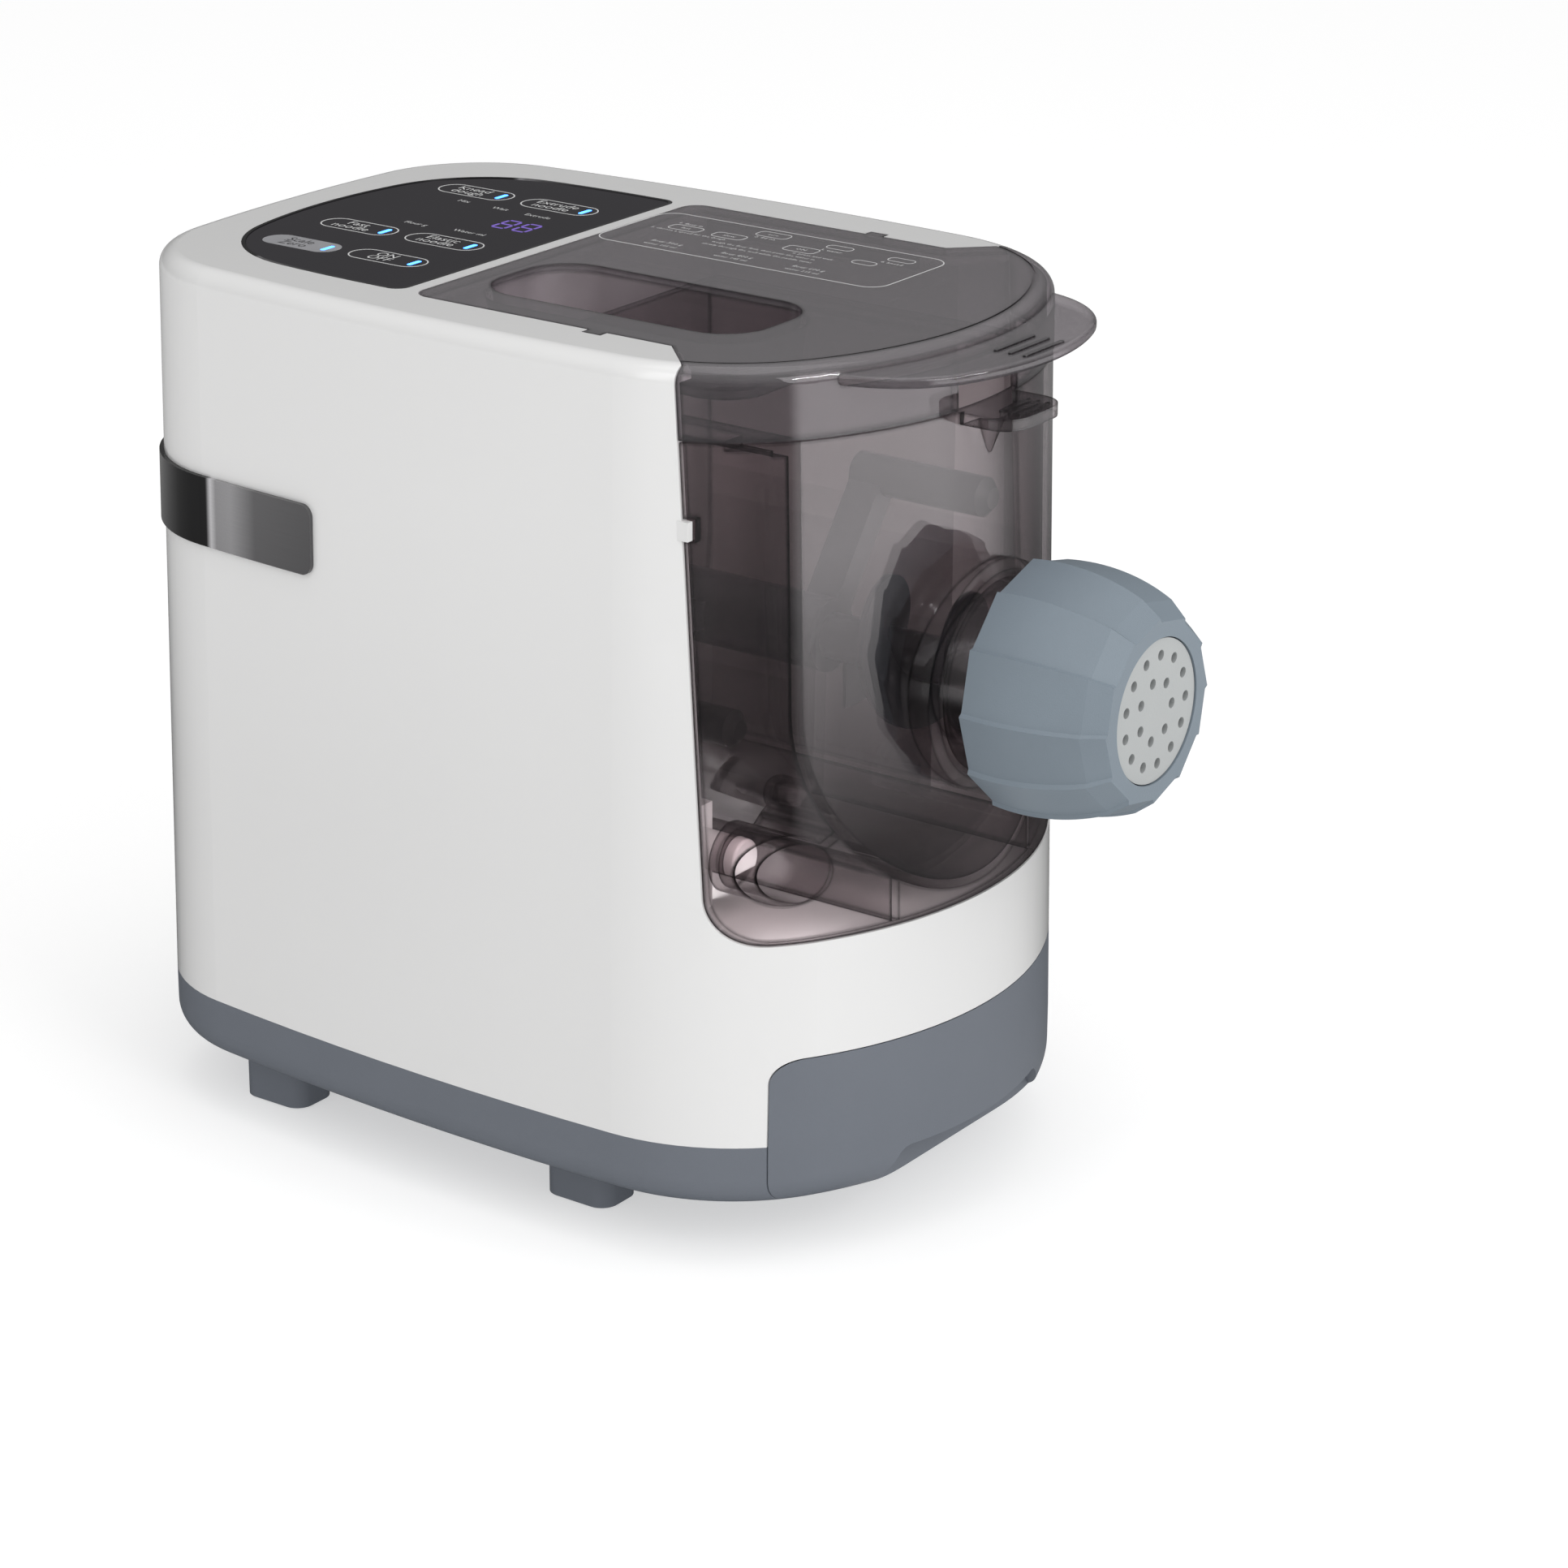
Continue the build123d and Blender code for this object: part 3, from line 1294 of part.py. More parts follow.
# ================= lid =================
with BuildPart() as lid:
    add(body_block(skirt_bottom, top_height))
    fillet(lid.edges().group_by(Axis.Z)[-1], rim_round)
    add(body_block(skirt_bottom - 1, top_height - lid_plate, skirt_wall), mode=Mode.SUBTRACT)
    with BuildPart(mode=Mode.PRIVATE) as lid_room:
        add(window_prism(fit_gap))
        extrude(bay_plan(top_height - lid_plate, fit_gap), amount=20)
    add(lid_room.part, mode=Mode.INTERSECT)
    # pour well with sloping walls
    well_base = top_height - well_depth
    with BuildSketch(Plane.XY.offset(well_base)):
        with Locations((well_x, well_y)):
            RectangleRounded(well_width - 6, well_length - 6, 15)
    extrude(amount=well_depth - 0.5, taper=-9)
    with BuildSketch(Plane.XY.offset(well_base + well_wall)):
        with Locations((well_x, well_y)):
            RectangleRounded(well_width - 10, well_length - 10, 13)
    extrude(amount=well_depth, taper=-9, mode=Mode.SUBTRACT)
    # slots that let water into the drum
    with BuildSketch(Plane.XY.offset(well_base - 1)):
        with Locations((well_x, well_y)):
            with GridLocations(14, 11, 2, 7):
                SlotOverall(11, 3.0)
    extrude(amount=6, mode=Mode.SUBTRACT)
    # locating rails under the plate
    with BuildSketch(Plane.XY.offset(top_height - lid_plate - 4)):
        with Locations((-bay_half_width + 7, 0), (bay_half_width - 7, 0)):
            Rectangle(2.0, 84)
    extrude(amount=5)
    # tabs that sit in the rim's notches
    with BuildSketch(Plane.XY.offset(top_height - notch_depth + 0.1)):
        with Locations((-bay_half_width, tab_y), (bay_half_width, tab_y)):
            Rectangle(2 * tab_reach - 0.8, tab_width - 0.8)
    extrude(amount=notch_depth - 0.1)
    # fine groove where the flat top meets the soft edge
    with BuildPart(mode=Mode.PRIVATE) as groove:
        extrude(outline(top_height - 0.5, inset_at(top_height) + 6.2), amount=2)
        extrude(outline(top_height - 0.5, inset_at(top_height) + 6.9), amount=2, mode=Mode.SUBTRACT)
        with BuildSketch(Plane.XY.offset(top_height - 5)):
            with Locations((0, bay_shoulder - 60)):
                Rectangle(body_width, 106)
        extrude(amount=10, mode=Mode.INTERSECT)
    add(groove.part, mode=Mode.SUBTRACT)
    # thumb lip with grip ridges
    with BuildPart(mode=Mode.PRIVATE) as lip:
        with BuildSketch(Plane.XY.offset(top_height - 3.6 - lip_thickness)):
            with BuildLine():
                tip_y = front_y + inset_at(top_height) - lip_reach
                lip_front = JernArc((0, tip_y), (1, 0), lip_front_radius, lip_front_sweep)
                lip_side = JernArc(lip_front @ 1, lip_front % 1, lip_side_radius, lip_side_turn)
                Polyline(lip_side @ 1, ((lip_side @ 1).X, front_y + 30), (0, front_y + 30))
                mirror(about=Plane.YZ)
            make_face()
        extrude(amount=lip_thickness)
        fillet(lip.edges().filter_by(GeomType.CIRCLE), 1.4)
        with BuildSketch(Plane.XY.offset(top_height - 3.6)):
            with Locations((0, tip_y + 8.5)):
                with GridLocations(1, 5.2, 1, 3):
                    SlotOverall(22, 1.4)
        extrude(amount=0.6)
        add(body_block(skirt_bottom, top_height + 2, 1.2), mode=Mode.SUBTRACT)
    add(lip.part)
    # finger notch in the skirt, above the chamber's tongue
    with BuildSketch(Plane.XY.offset(skirt_bottom - 1)):
        with Locations((0, front_y)):
            Rectangle(2 * notch_half_width, 24)
    extrude(amount=1 + notch_height, mode=Mode.SUBTRACT)
finish(lid, "lid")

with BuildPart() as lid_switch:
    # small enclosed switch hung under the lid ledge, open where the plunger enters
    switch_top = top_height - deck_thickness - liner_wall
    with BuildSketch(Plane.XY.offset(switch_top - 11)):
        with Locations((plunger_x, tab_y)):
            Rectangle(8, 20)
            Circle(plunger_radius + 0.35, mode=Mode.SUBTRACT)
    extrude(amount=11)
finish(lid_switch, "lid_switch")

with BuildPart() as switch_plunger:
    with BuildSketch(Plane.XY.offset(switch_top - 14)):
        with Locations((plunger_x, tab_y)):
            Circle(plunger_radius)
    extrude(amount=top_height - notch_depth - switch_top + 14)
finish(switch_plunger, "switch_plunger")
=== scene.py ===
"""Looks for the electric pasta maker: materials, printed marks, studio and camera.

Everything is in metres in the CAD frame: +Z up, the nozzle points along -Y.  The printed
marks on the panel and on the lid are placed in millimetres in that frame.
"""

import json
import math

import bpy
from mathutils import Matrix, Vector


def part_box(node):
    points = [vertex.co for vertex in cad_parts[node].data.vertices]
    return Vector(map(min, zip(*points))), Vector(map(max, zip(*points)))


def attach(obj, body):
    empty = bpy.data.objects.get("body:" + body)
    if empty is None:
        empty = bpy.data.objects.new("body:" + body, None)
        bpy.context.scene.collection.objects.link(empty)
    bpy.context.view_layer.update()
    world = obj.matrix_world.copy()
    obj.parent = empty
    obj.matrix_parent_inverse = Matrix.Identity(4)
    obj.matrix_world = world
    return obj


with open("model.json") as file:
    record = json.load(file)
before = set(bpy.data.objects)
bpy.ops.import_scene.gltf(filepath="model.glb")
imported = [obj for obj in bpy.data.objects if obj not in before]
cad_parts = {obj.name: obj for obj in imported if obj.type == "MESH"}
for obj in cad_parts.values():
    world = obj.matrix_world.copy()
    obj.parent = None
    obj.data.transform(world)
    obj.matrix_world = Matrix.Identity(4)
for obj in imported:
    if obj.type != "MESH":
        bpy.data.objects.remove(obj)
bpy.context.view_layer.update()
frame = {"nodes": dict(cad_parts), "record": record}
nodes = frame["nodes"]
scene = bpy.context.scene

MM = 0.001

# ------------------------------------------------------------------ camera
# Fitted to the outline of the body, feet, band and nozzle.
CAMERA_AT = Vector((-1.1426, -0.8484, 0.6601))
CAMERA_RIGHT = Vector((0.5803, -0.8144, 0.0053))
CAMERA_UP = Vector((0.2866, 0.2104, 0.9347))
CAMERA_BACK = Vector((-0.7623, -0.5409, 0.3555))
LENS = 106.12
SENSOR = 36.0
NEAREST = 0.05

camera_data = bpy.data.cameras.new("camera")
camera_data.lens = LENS
camera_data.sensor_width = SENSOR
camera_data.clip_start = NEAREST
camera = bpy.data.objects.new("camera", camera_data)
scene.collection.objects.link(camera)
turn = Matrix((CAMERA_RIGHT, CAMERA_UP, CAMERA_BACK)).transposed().to_4x4()
camera.matrix_world = Matrix.Translation(CAMERA_AT) @ turn
bpy.context.scene.camera = camera


# ------------------------------------------------------------------ shader nodes
class Graph:
    """Builds one node tree.  What feeds a node is another node's output or a plain value."""

    def __init__(self, tree):
        self.tree = tree

    def feed(self, socket, source):
        """Link an output to an input, or set the input to a value."""
        if isinstance(source, bpy.types.NodeSocket):
            self.tree.links.new(source, socket)
        else:
            socket.default_value = source

    def add(self, kind, inputs):
        """New node of a kind, with its inputs by name or by number."""
        node = self.tree.nodes.new("ShaderNode" + kind)
        for key, source in inputs.items():
            self.feed(node.inputs[key], source)
        return node

    def place(self):
        """Where a point is on its object, in metres."""
        return self.add("TexCoord", {}).outputs["Object"]

    def stretched(self, place, scale):
        """A place scaled along each axis."""
        return self.add("Mapping", {"Vector": place, "Scale": scale}).outputs["Vector"]

    def axes(self, vector):
        """The X, Y and Z of a vector."""
        return self.add("SeparateXYZ", {"Vector": vector}).outputs

    def noise(self, place, scale, detail=2.0):
        """Soft noise about one half."""
        inputs = {"Vector": place, "Scale": scale, "Detail": detail}
        return self.add("TexNoise", inputs).outputs["Fac"]

    def bump(self, height, strength, distance):
        """The normal of a surface raised by a height."""
        inputs = {"Strength": strength, "Distance": distance, "Height": height}
        return self.add("Bump", inputs).outputs["Normal"]

    def math(self, operation, *sources):
        """Arithmetic on numbers."""
        node = self.tree.nodes.new("ShaderNodeMath")
        node.operation = operation
        for socket, source in zip(node.inputs, sources):
            self.feed(socket, source)
        return node.outputs["Value"]

    def vector(self, operation, *sources):
        """Arithmetic on vectors: the node's outputs, Vector or Value by operation."""
        node = self.tree.nodes.new("ShaderNodeVectorMath")
        node.operation = operation
        for socket, source in zip(node.inputs, sources):
            self.feed(socket, source)
        return node.outputs

    def scaled(self, vector, factor):
        """A vector or a colour times a number."""
        node = self.tree.nodes.new("ShaderNodeVectorMath")
        node.operation = "SCALE"
        self.feed(node.inputs[0], vector)
        self.feed(node.inputs["Scale"], factor)
        return node.outputs["Vector"]

    def mapped(self, source, low, high, start=0.0, stop=1.0, ease="LINEAR"):
        """A number carried from start..stop to low..high, and held beyond either end."""
        node = self.tree.nodes.new("ShaderNodeMapRange")
        node.interpolation_type = ease
        self.feed(node.inputs["Value"], source)
        self.feed(node.inputs["From Min"], start)
        self.feed(node.inputs["From Max"], stop)
        self.feed(node.inputs["To Min"], low)
        self.feed(node.inputs["To Max"], high)
        return node.outputs["Result"]

    def tint(self, first, second, share):
        """A colour between two, share of it the second."""
        node = self.tree.nodes.new("ShaderNodeMix")
        node.data_type = "RGBA"
        node.inputs["A"].default_value = (*first, 1)
        node.inputs["B"].default_value = (*second, 1)
        self.feed(node.inputs["Factor"], share)
        return node.outputs["Result"]

    def ramp(self, source, stops):
        """A colour read along stops of (position, colour)."""
        node = self.add("ValToRGB", {"Fac": source})
        elements = node.color_ramp.elements
        while len(elements) < len(stops):
            elements.new(0.5)
        for element, (position, colour) in zip(elements, stops):
            element.position = position
            element.color = (*colour, 1)
        return node.outputs["Color"]

    def blended(self, share, first, second):
        """Two shaders in one, share of it the second."""
        return self.add("MixShader", {"Fac": share, 1: first, 2: second}).outputs["Shader"]

    def show(self, shader):
        """Make a shader the one that is seen."""
        self.feed(self.tree.nodes["Material Output"].inputs["Surface"], shader)


def new_material(name):
    """(material, its graph, its Principled shader)."""
    made = bpy.data.materials.new(name)
    made.use_nodes = True
    return made, Graph(made.node_tree), made.node_tree.nodes["Principled BSDF"]


# ------------------------------------------------------------------ materials
LEAST_ROUGH = 0.02
GRAIN_DEEP = 0.0002
COAT_ROUGH = 0.06


def surface(name, colour, roughness, vary=0.06, vary_scale=60.0, rough_vary=0.06, grain=0.0,
            grain_scale=1500.0, metallic=0.0, coat=0.0, stretch=(1, 1, 1), ior=1.5):
    """Procedural surface: base colour and roughness that drift slowly, over a fine grain."""
    made, graph, shader = new_material(name)
    place = graph.stretched(graph.place(), stretch)
    drift = graph.noise(place, vary_scale, 4.0)
    low = [max(0.0, c * (1 - vary)) for c in colour]
    high = [min(1.0, c * (1 + vary)) for c in colour]
    graph.feed(shader.inputs["Base Color"], graph.tint(low, high, drift))
    smoothest = max(LEAST_ROUGH, roughness - rough_vary)
    graph.feed(shader.inputs["Roughness"],
               graph.mapped(drift, smoothest, roughness + rough_vary))
    if grain:
        fine = graph.noise(place, grain_scale)
        graph.feed(shader.inputs["Normal"], graph.bump(fine, grain, GRAIN_DEEP))
    shader.inputs["Metallic"].default_value = metallic
    shader.inputs["IOR"].default_value = ior
    shader.inputs["Coat Weight"].default_value = coat
    shader.inputs["Coat Roughness"].default_value = COAT_ROUGH
    return made


# The smoked plastic: its slow waves, how it darkens and mirrors at a slant, its edge lines of
# painted shade, and its haze, with painted light on level faces.
WAVE_SCALE = 14.0
WAVE_STRENGTH = 0.06
WAVE_DEEP = 0.0006
WAVE_SHADE = (0.94, 1.06)
SLANT_SHADE_POWER = 1.7
SLANT_MIRROR_POWER = 5.0
MIRROR_FACE_ON = 0.045
MIRROR_COLOUR = (0.95, 0.93, 0.95, 1)
EDGE_LINE = (0.80, 0.98)    # cosine between the two normals, at the painted edge shade and clear of it
LEVEL = (0.5, 0.95)         # upward share of the normal, from upright faces to level ones
UPRIGHT_HAZE = 0.2          # of what level faces have: painted light that leaves upright faces darker
MILK_COLOUR = (0.50, 0.485, 0.50, 1)
# The drum in the chamber, about its axis and behind its front plate, which takes a painted
# shade.
DRUM_AXIS_HIGH = 0.182
DRUM_REACH = 0.071
DRUM_FRONT = -0.096
DRUM_FOOT = 0.135
DRUM_MOUTH = 0.225


def smoked(name, face_on, edge_on, roughness, haze, line_wide, edge_shade_dark, drum=None):
    """See-through tinted plastic: clear face on, darker and mirror-like at a slant.

    Its edges are lines of painted shade, line_wide metres wide.  haze is the share that
    scatters on level faces, less of it on upright ones as painted light.  drum gives the
    painted shade on the
    drum: what share of light the drum lets through at its foot and at its mouth, next to the
    pieces round it.
    """
    made, graph, shader = new_material(name)
    place = graph.place()
    wave = graph.noise(place, WAVE_SCALE, 3.0)
    normal = graph.bump(wave, WAVE_STRENGTH, WAVE_DEEP)
    weight = graph.add("LayerWeight", {"Blend": 0.5, "Normal": normal})
    facing = weight.outputs["Facing"]

    # darker at a slant, where the light has further to go
    depth = graph.math("MULTIPLY", graph.math("POWER", facing, SLANT_SHADE_POWER),
                       graph.mapped(wave, *WAVE_SHADE))
    shade = graph.tint(face_on, edge_on, depth)

    # painted shade on the edges: dark lines where the normal of a rounded edge would leave the
    # face's own
    rounded_edge = graph.add("Bevel", {"Radius": line_wide})
    rounded_edge.samples = 3
    face = graph.add("NewGeometry", {}).outputs["Normal"]
    leave = graph.vector("DOT_PRODUCT", rounded_edge.outputs["Normal"], face)["Value"]
    painted_edge_shade = graph.mapped(leave, edge_shade_dark, 1.0, *EDGE_LINE)
    through = graph.scaled(shade, painted_edge_shade)

    # painted shade: only the drum itself is darker, most at its foot, not the sleeves and the
    # plate round it
    if drum:
        axes = graph.axes(place)
        height = graph.mapped(axes["Z"], *drum, DRUM_FOOT, DRUM_MOUTH)
        from_axis = graph.vector("MULTIPLY_ADD", place, (1.0, 0.0, 1.0),
                                 (0.0, 0.0, -DRUM_AXIS_HIGH))["Vector"]
        reach = graph.vector("LENGTH", from_axis)["Value"]
        inside = graph.math("LESS_THAN", reach, DRUM_REACH)
        behind = graph.math("GREATER_THAN", axes["Y"], DRUM_FRONT)
        on_drum = graph.math("MULTIPLY", inside, behind)
        through = graph.scaled(through, graph.mapped(on_drum, 1.0, height))

    # a little haze, most of it on level faces as painted light, and hardly any on the painted
    # edge shade
    glass = graph.add("BsdfTransparent", {"Color": through}).outputs["BSDF"]
    milk = graph.add("BsdfDiffuse", {"Color": MILK_COLOUR}).outputs["BSDF"]
    level = graph.math("ABSOLUTE", graph.axes(face)["Z"])
    haze_and_painted_top_light = graph.mapped(level, haze * UPRIGHT_HAZE, haze, *LEVEL)
    clear = graph.blended(graph.math("MULTIPLY", painted_edge_shade, haze_and_painted_top_light), glass, milk)

    # the same share is mirrored on the way in and on the way out
    shader.inputs["Base Color"].default_value = MIRROR_COLOUR
    shader.inputs["Metallic"].default_value = 1.0
    shader.inputs["Roughness"].default_value = roughness
    graph.feed(shader.inputs["Normal"], normal)
    slant = graph.mapped(graph.math("POWER", facing, SLANT_MIRROR_POWER), MIRROR_FACE_ON, 1.0)
    graph.show(graph.blended(slant, clear, shader.outputs["BSDF"]))
    return made


# The band of trim: where its wrap round the side starts and ends, and the painted reflection it
# shows
# between them, as (share of the way, grey): a painted highlight bar, then dark towards the
# rear.
TRIM_START = 0.076
TRIM_END = 0.176
TRIM_PAINTED_REFLECTION = ((0.0, 0.17), (0.25, 0.21), (0.36, 0.50), (0.43, 0.46), (0.455, 0.9),
              (0.475, 0.03), (0.62, 0.02), (0.8, 0.10), (1.0, 0.24))


def brushed_with_painted_reflection(name):
    """Polished trim with a painted reflection in its base colour round the body: mid grey, a
    bright painted highlight bar, then near black.
    """
    made, graph, shader = new_material(name)
    place = graph.place()
    # painted reflection: the base colour runs from mid grey through a bright bar to near black
    # along Y
    along = graph.mapped(graph.axes(place)["Y"], 0.0, 1.0, TRIM_START, TRIM_END)
    painted_reflection = graph.ramp(along, [(at, (level, level * 0.985, level * 1.01))
                              for at, level in TRIM_PAINTED_REFLECTION])
    hair = graph.noise(graph.stretched(place, (0.02, 0.02, 1.0)), 2600.0, 3.0)
    graph.feed(shader.inputs["Base Color"], graph.scaled(painted_reflection, graph.mapped(hair, 0.88, 1.1)))
    graph.feed(shader.inputs["Roughness"], graph.mapped(hair, 0.18, 0.30))
    shader.inputs["Metallic"].default_value = 1.0
    return made


def glowing(name, colour, strength):
    """Small lamp under the printed window."""
    made, graph, shader = new_material(name)
    cloud = graph.noise(graph.place(), 300.0)
    tint = graph.tint([c * 0.8 for c in colour], colour, cloud)
    graph.feed(shader.inputs["Emission Color"], tint)
    graph.feed(shader.inputs["Base Color"], tint)
    shader.inputs["Emission Strength"].default_value = strength
    return made


WHITE = surface("white_gloss", (0.74, 0.738, 0.735), 0.17, vary=0.012, vary_scale=9,
                rough_vary=0.03, grain=0.04, grain_scale=260, coat=0.4)
GREY = surface("grey_matte", (0.145, 0.160, 0.187), 0.42, vary=0.04, vary_scale=30,
               grain=0.25, grain_scale=2600)
NUT = surface("nut_grey", (0.185, 0.225, 0.262), 0.5, vary=0.05, vary_scale=45,
              grain=0.3, grain_scale=2400)
# painted shade on the drum: 0.78 of the light through at its foot, 0.97 at its mouth
SMOKE = smoked("smoked", (0.93, 0.905, 0.91), (0.16, 0.135, 0.145), roughness=0.03,
               haze=0.01, line_wide=0.0018, edge_shade_dark=0.05, drum=(0.78, 0.97))
LID_SMOKE = smoked("smoked_lid", (0.75, 0.725, 0.74), (0.20, 0.17, 0.19), roughness=0.03,
                   haze=0.19, line_wide=0.0022, edge_shade_dark=0.05)
DARK = surface("dark_inner", (0.035, 0.034, 0.037), 0.4, vary=0.1, grain=0.2)
INNER = surface("white_inner", (0.86, 0.85, 0.845), 0.4, vary=0.04, grain=0.2)
PANEL = surface("panel_black", (0.014, 0.012, 0.016), 0.12, vary=0.15, vary_scale=20,
                rough_vary=0.03, grain=0.02, grain_scale=500, ior=1.4)
TRIM = brushed_with_painted_reflection("bright_trim")
DIE = surface("die_grey", (0.40, 0.415, 0.415), 0.45, vary=0.04, grain=0.2)
GEAR = surface("gear_white", (0.58, 0.56, 0.5), 0.4, vary=0.05, grain=0.15)
STEEL = surface("steel", (0.5, 0.5, 0.5), 0.3, vary=0.08, vary_scale=200, metallic=1.0,
                grain=0.15)
COPPER = surface("copper_dark", (0.5, 0.24, 0.12), 0.35, vary=0.2, vary_scale=500,
                 metallic=0.9, grain=0.6, grain_scale=1500, stretch=(1, 0.1, 1))
BOARD = surface("board_green", (0.02, 0.12, 0.06), 0.4, vary=0.25, vary_scale=300, grain=0.2)
ALLOY = surface("alloy", (0.6, 0.6, 0.6), 0.35, vary=0.06, vary_scale=150, metallic=1.0,
                grain=0.2)
RUBBER = surface("soft_black", (0.03, 0.03, 0.03), 0.7, vary=0.15, grain=0.4)
PRINT = surface("print_white", (0.62, 0.62, 0.62), 0.5, vary=0.05)
LIGHT_KEY = surface("key_silver", (0.42, 0.42, 0.44), 0.35, vary=0.05, vary_scale=200,
                    metallic=0.4)
LAMP = glowing("lamp_blue", (0.05, 0.22, 1.0), 6.0)
DIGIT = glowing("digit_violet", (0.16, 0.10, 0.42), 0.5)

by_slot = {
    "white_gloss": WHITE, "grey_matte": GREY, "nut_grey": NUT, "smoked": SMOKE,
    "dark_inner": DARK, "white_inner": INNER, "panel_black": PANEL, "bright_trim": TRIM,
    "die_grey": DIE, "gear_white": GEAR, "steel": STEEL, "copper_dark": COPPER,
    "board_green": BOARD, "alloy": ALLOY, "soft_black": RUBBER,
}
slot_of = {row["node"]: row["material_slot"] for row in frame["record"]["subparts"]}

# Faces that meet softly are shaded as one surface.
SOFT_ANGLE = math.radians(28)
for name, node in nodes.items():
    node.data.materials.clear()
    node.data.materials.append(by_slot[slot_of[name]])
    node.data.shade_smooth()
    node.data.set_sharp_from_angle(angle=SOFT_ANGLE)
nodes["lid"].data.materials[0] = LID_SMOKE

# Moulded edges are eased, by so many millimetres, so that they catch the light.
EASED = {"rear_trim_band": 0.45, "locking_nut": 0.5, "drawer_front": 0.35, "base_pan": 0.35,
         "housing_shell": 0.35, "die": 0.25}
SHARP_ANGLE = math.radians(40)
for name, wide in EASED.items():
    ease = nodes[name].modifiers.new("ease", "BEVEL")
    ease.width = wide * MM
    ease.segments = 2
    ease.limit_method = "ANGLE"
    ease.angle_limit = SHARP_ANGLE
    ease.use_clamp_overlap = True
    ease.harden_normals = False


# ------------------------------------------------------------------ printed marks
def piece(name, mesh, material, body):
    """An object from a mesh, with its material, that rides on a body."""
    mesh.materials.append(material)
    made = bpy.data.objects.new(name, mesh)
    scene.collection.objects.link(made)
    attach(made, body)
    return made


def drawn(name, vertices, faces):
    """A mesh from vertices in millimetres."""
    mesh = bpy.data.meshes.new(name)
    mesh.from_pydata([(x * MM, y * MM, z * MM) for x, y, z in vertices], [], faces)
    mesh.update()
    return mesh


def rounded(cx, cy, wide, deep, radius, steps=8):
    """Loop of points round a rounded rectangle, in millimetres."""
    points = []
    for sx, sy, start in ((1, 1, 0), (-1, 1, 90), (-1, -1, 180), (1, -1, 270)):
        for step in range(steps + 1):
            a = math.radians(start + 90 * step / steps)
            x = cx + sx * (wide / 2 - radius) + radius * math.cos(a)
            y = cy + sy * (deep / 2 - radius) + radius * math.sin(a)
            points.append((x, y))
    return points


def flat_ring(name, outer, inner, z, thick, material, body):
    """A thin raised band between two loops of as many points."""
    n = len(outer)
    vertices = []
    for loop, level in ((outer, z), (inner, z), (inner, z + thick), (outer, z + thick)):
        vertices += [(x, y, level) for x, y in loop]
    faces = []
    for row in range(4):
        for i in range(n):
            j = (i + 1) % n
            a, b = row * n, ((row + 1) % 4) * n
            faces.append((a + i, a + j, b + j, b + i))
    return piece(name, drawn(name, vertices, faces), material, body)


def flat_patch(name, loop, z, thick, material, body):
    """A thin raised patch inside one loop."""
    n = len(loop)
    vertices = [(x, y, z) for x, y in loop]
    vertices += [(x, y, z + thick) for x, y in loop]
    faces = [tuple(range(n - 1, -1, -1)), tuple(range(n, 2 * n))]
    faces += [(i, (i + 1) % n, n + (i + 1) % n, n + i) for i in range(n)]
    return piece(name, drawn(name, vertices, faces), material, body)


def label(name, words, at, size, material, body, z, steps=3):
    """Flat generic word that reads from the machine's -X side."""
    text = bpy.data.curves.new(name, "FONT")
    text.body = words
    text.size = size * MM
    text.align_x = "CENTER"
    text.align_y = "CENTER"
    text.space_line = 0.8
    text.resolution_u = steps
    holder = bpy.data.objects.new(name + "_text", text)
    scene.collection.objects.link(holder)
    bpy.context.view_layer.update()
    shown = holder.evaluated_get(bpy.context.evaluated_depsgraph_get())
    mesh = bpy.data.meshes.new_from_object(shown)
    bpy.data.objects.remove(holder)
    mesh.transform(Matrix(((0, 1, 0, at[0] * MM), (-1, 0, 0, at[1] * MM), (0, 0, 1, z * MM),
                           (0, 0, 0, 1))))
    mesh.materials.clear()
    return piece(name, mesh, material, body)


# ------------------------------------------------------------------ control panel
glass_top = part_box("panel_glass")[1].z / MM
KEY_WIDE = 12.0
KEY_LONG = 30.0
KEY_CORNER = KEY_WIDE / 2 - 0.01
KEY_LINE = 0.45             # width of a key's outline
KEY_THICK = 0.05
WORD_SIZE = 5.4
WORD_SHIFT = 2.0            # away from the key's lamp
WORD_UP = 0.08              # above the glass
KEY_LAMP_WIDE = 6.2
KEY_LAMP_LONG = 1.6
KEY_LAMP_CORNER = 0.7
KEY_LAMP_IN = 4.2           # from the end of the key
LAMP_UP = 0.02
LAMP_THICK = 0.08
keys = {
    "knead": (43, 121.5, "Knead\ndough"),
    "extrude": (43, 86, "Extrude\nnoodle"),
    "fast": (-17, 122, "Fast\nnoodle"),
    "elastic": (-16, 87, "Elastic\nnoodle"),
    "scale": (-45, 122.5, "Scale\nZero"),
    "power": (-43, 88, "ON\nOFF"),
}
for key, (x, y, words) in keys.items():
    edge = rounded(x, y, KEY_WIDE, KEY_LONG, KEY_CORNER, steps=10)
    inside = rounded(x, y, KEY_WIDE - 2 * KEY_LINE, KEY_LONG - 2 * KEY_LINE,
                     KEY_CORNER - KEY_LINE, steps=10)
    if key == "scale":
        flat_patch("key_" + key, edge, glass_top, KEY_THICK, LIGHT_KEY, "machine")
        ink = DARK
    else:
        flat_ring("key_" + key, edge, inside, glass_top, KEY_THICK, PRINT, "machine")
        ink = PRINT
    label("word_" + key, words, (x, y + WORD_SHIFT), WORD_SIZE, ink, "machine",
          glass_top + WORD_UP)
    lamp = rounded(x, y - KEY_LONG / 2 + KEY_LAMP_IN, KEY_LAMP_WIDE, KEY_LAMP_LONG,
                   KEY_LAMP_CORNER, steps=4)
    flat_patch("lamp_" + key, lamp, glass_top + LAMP_UP, LAMP_THICK, LAMP, "machine")

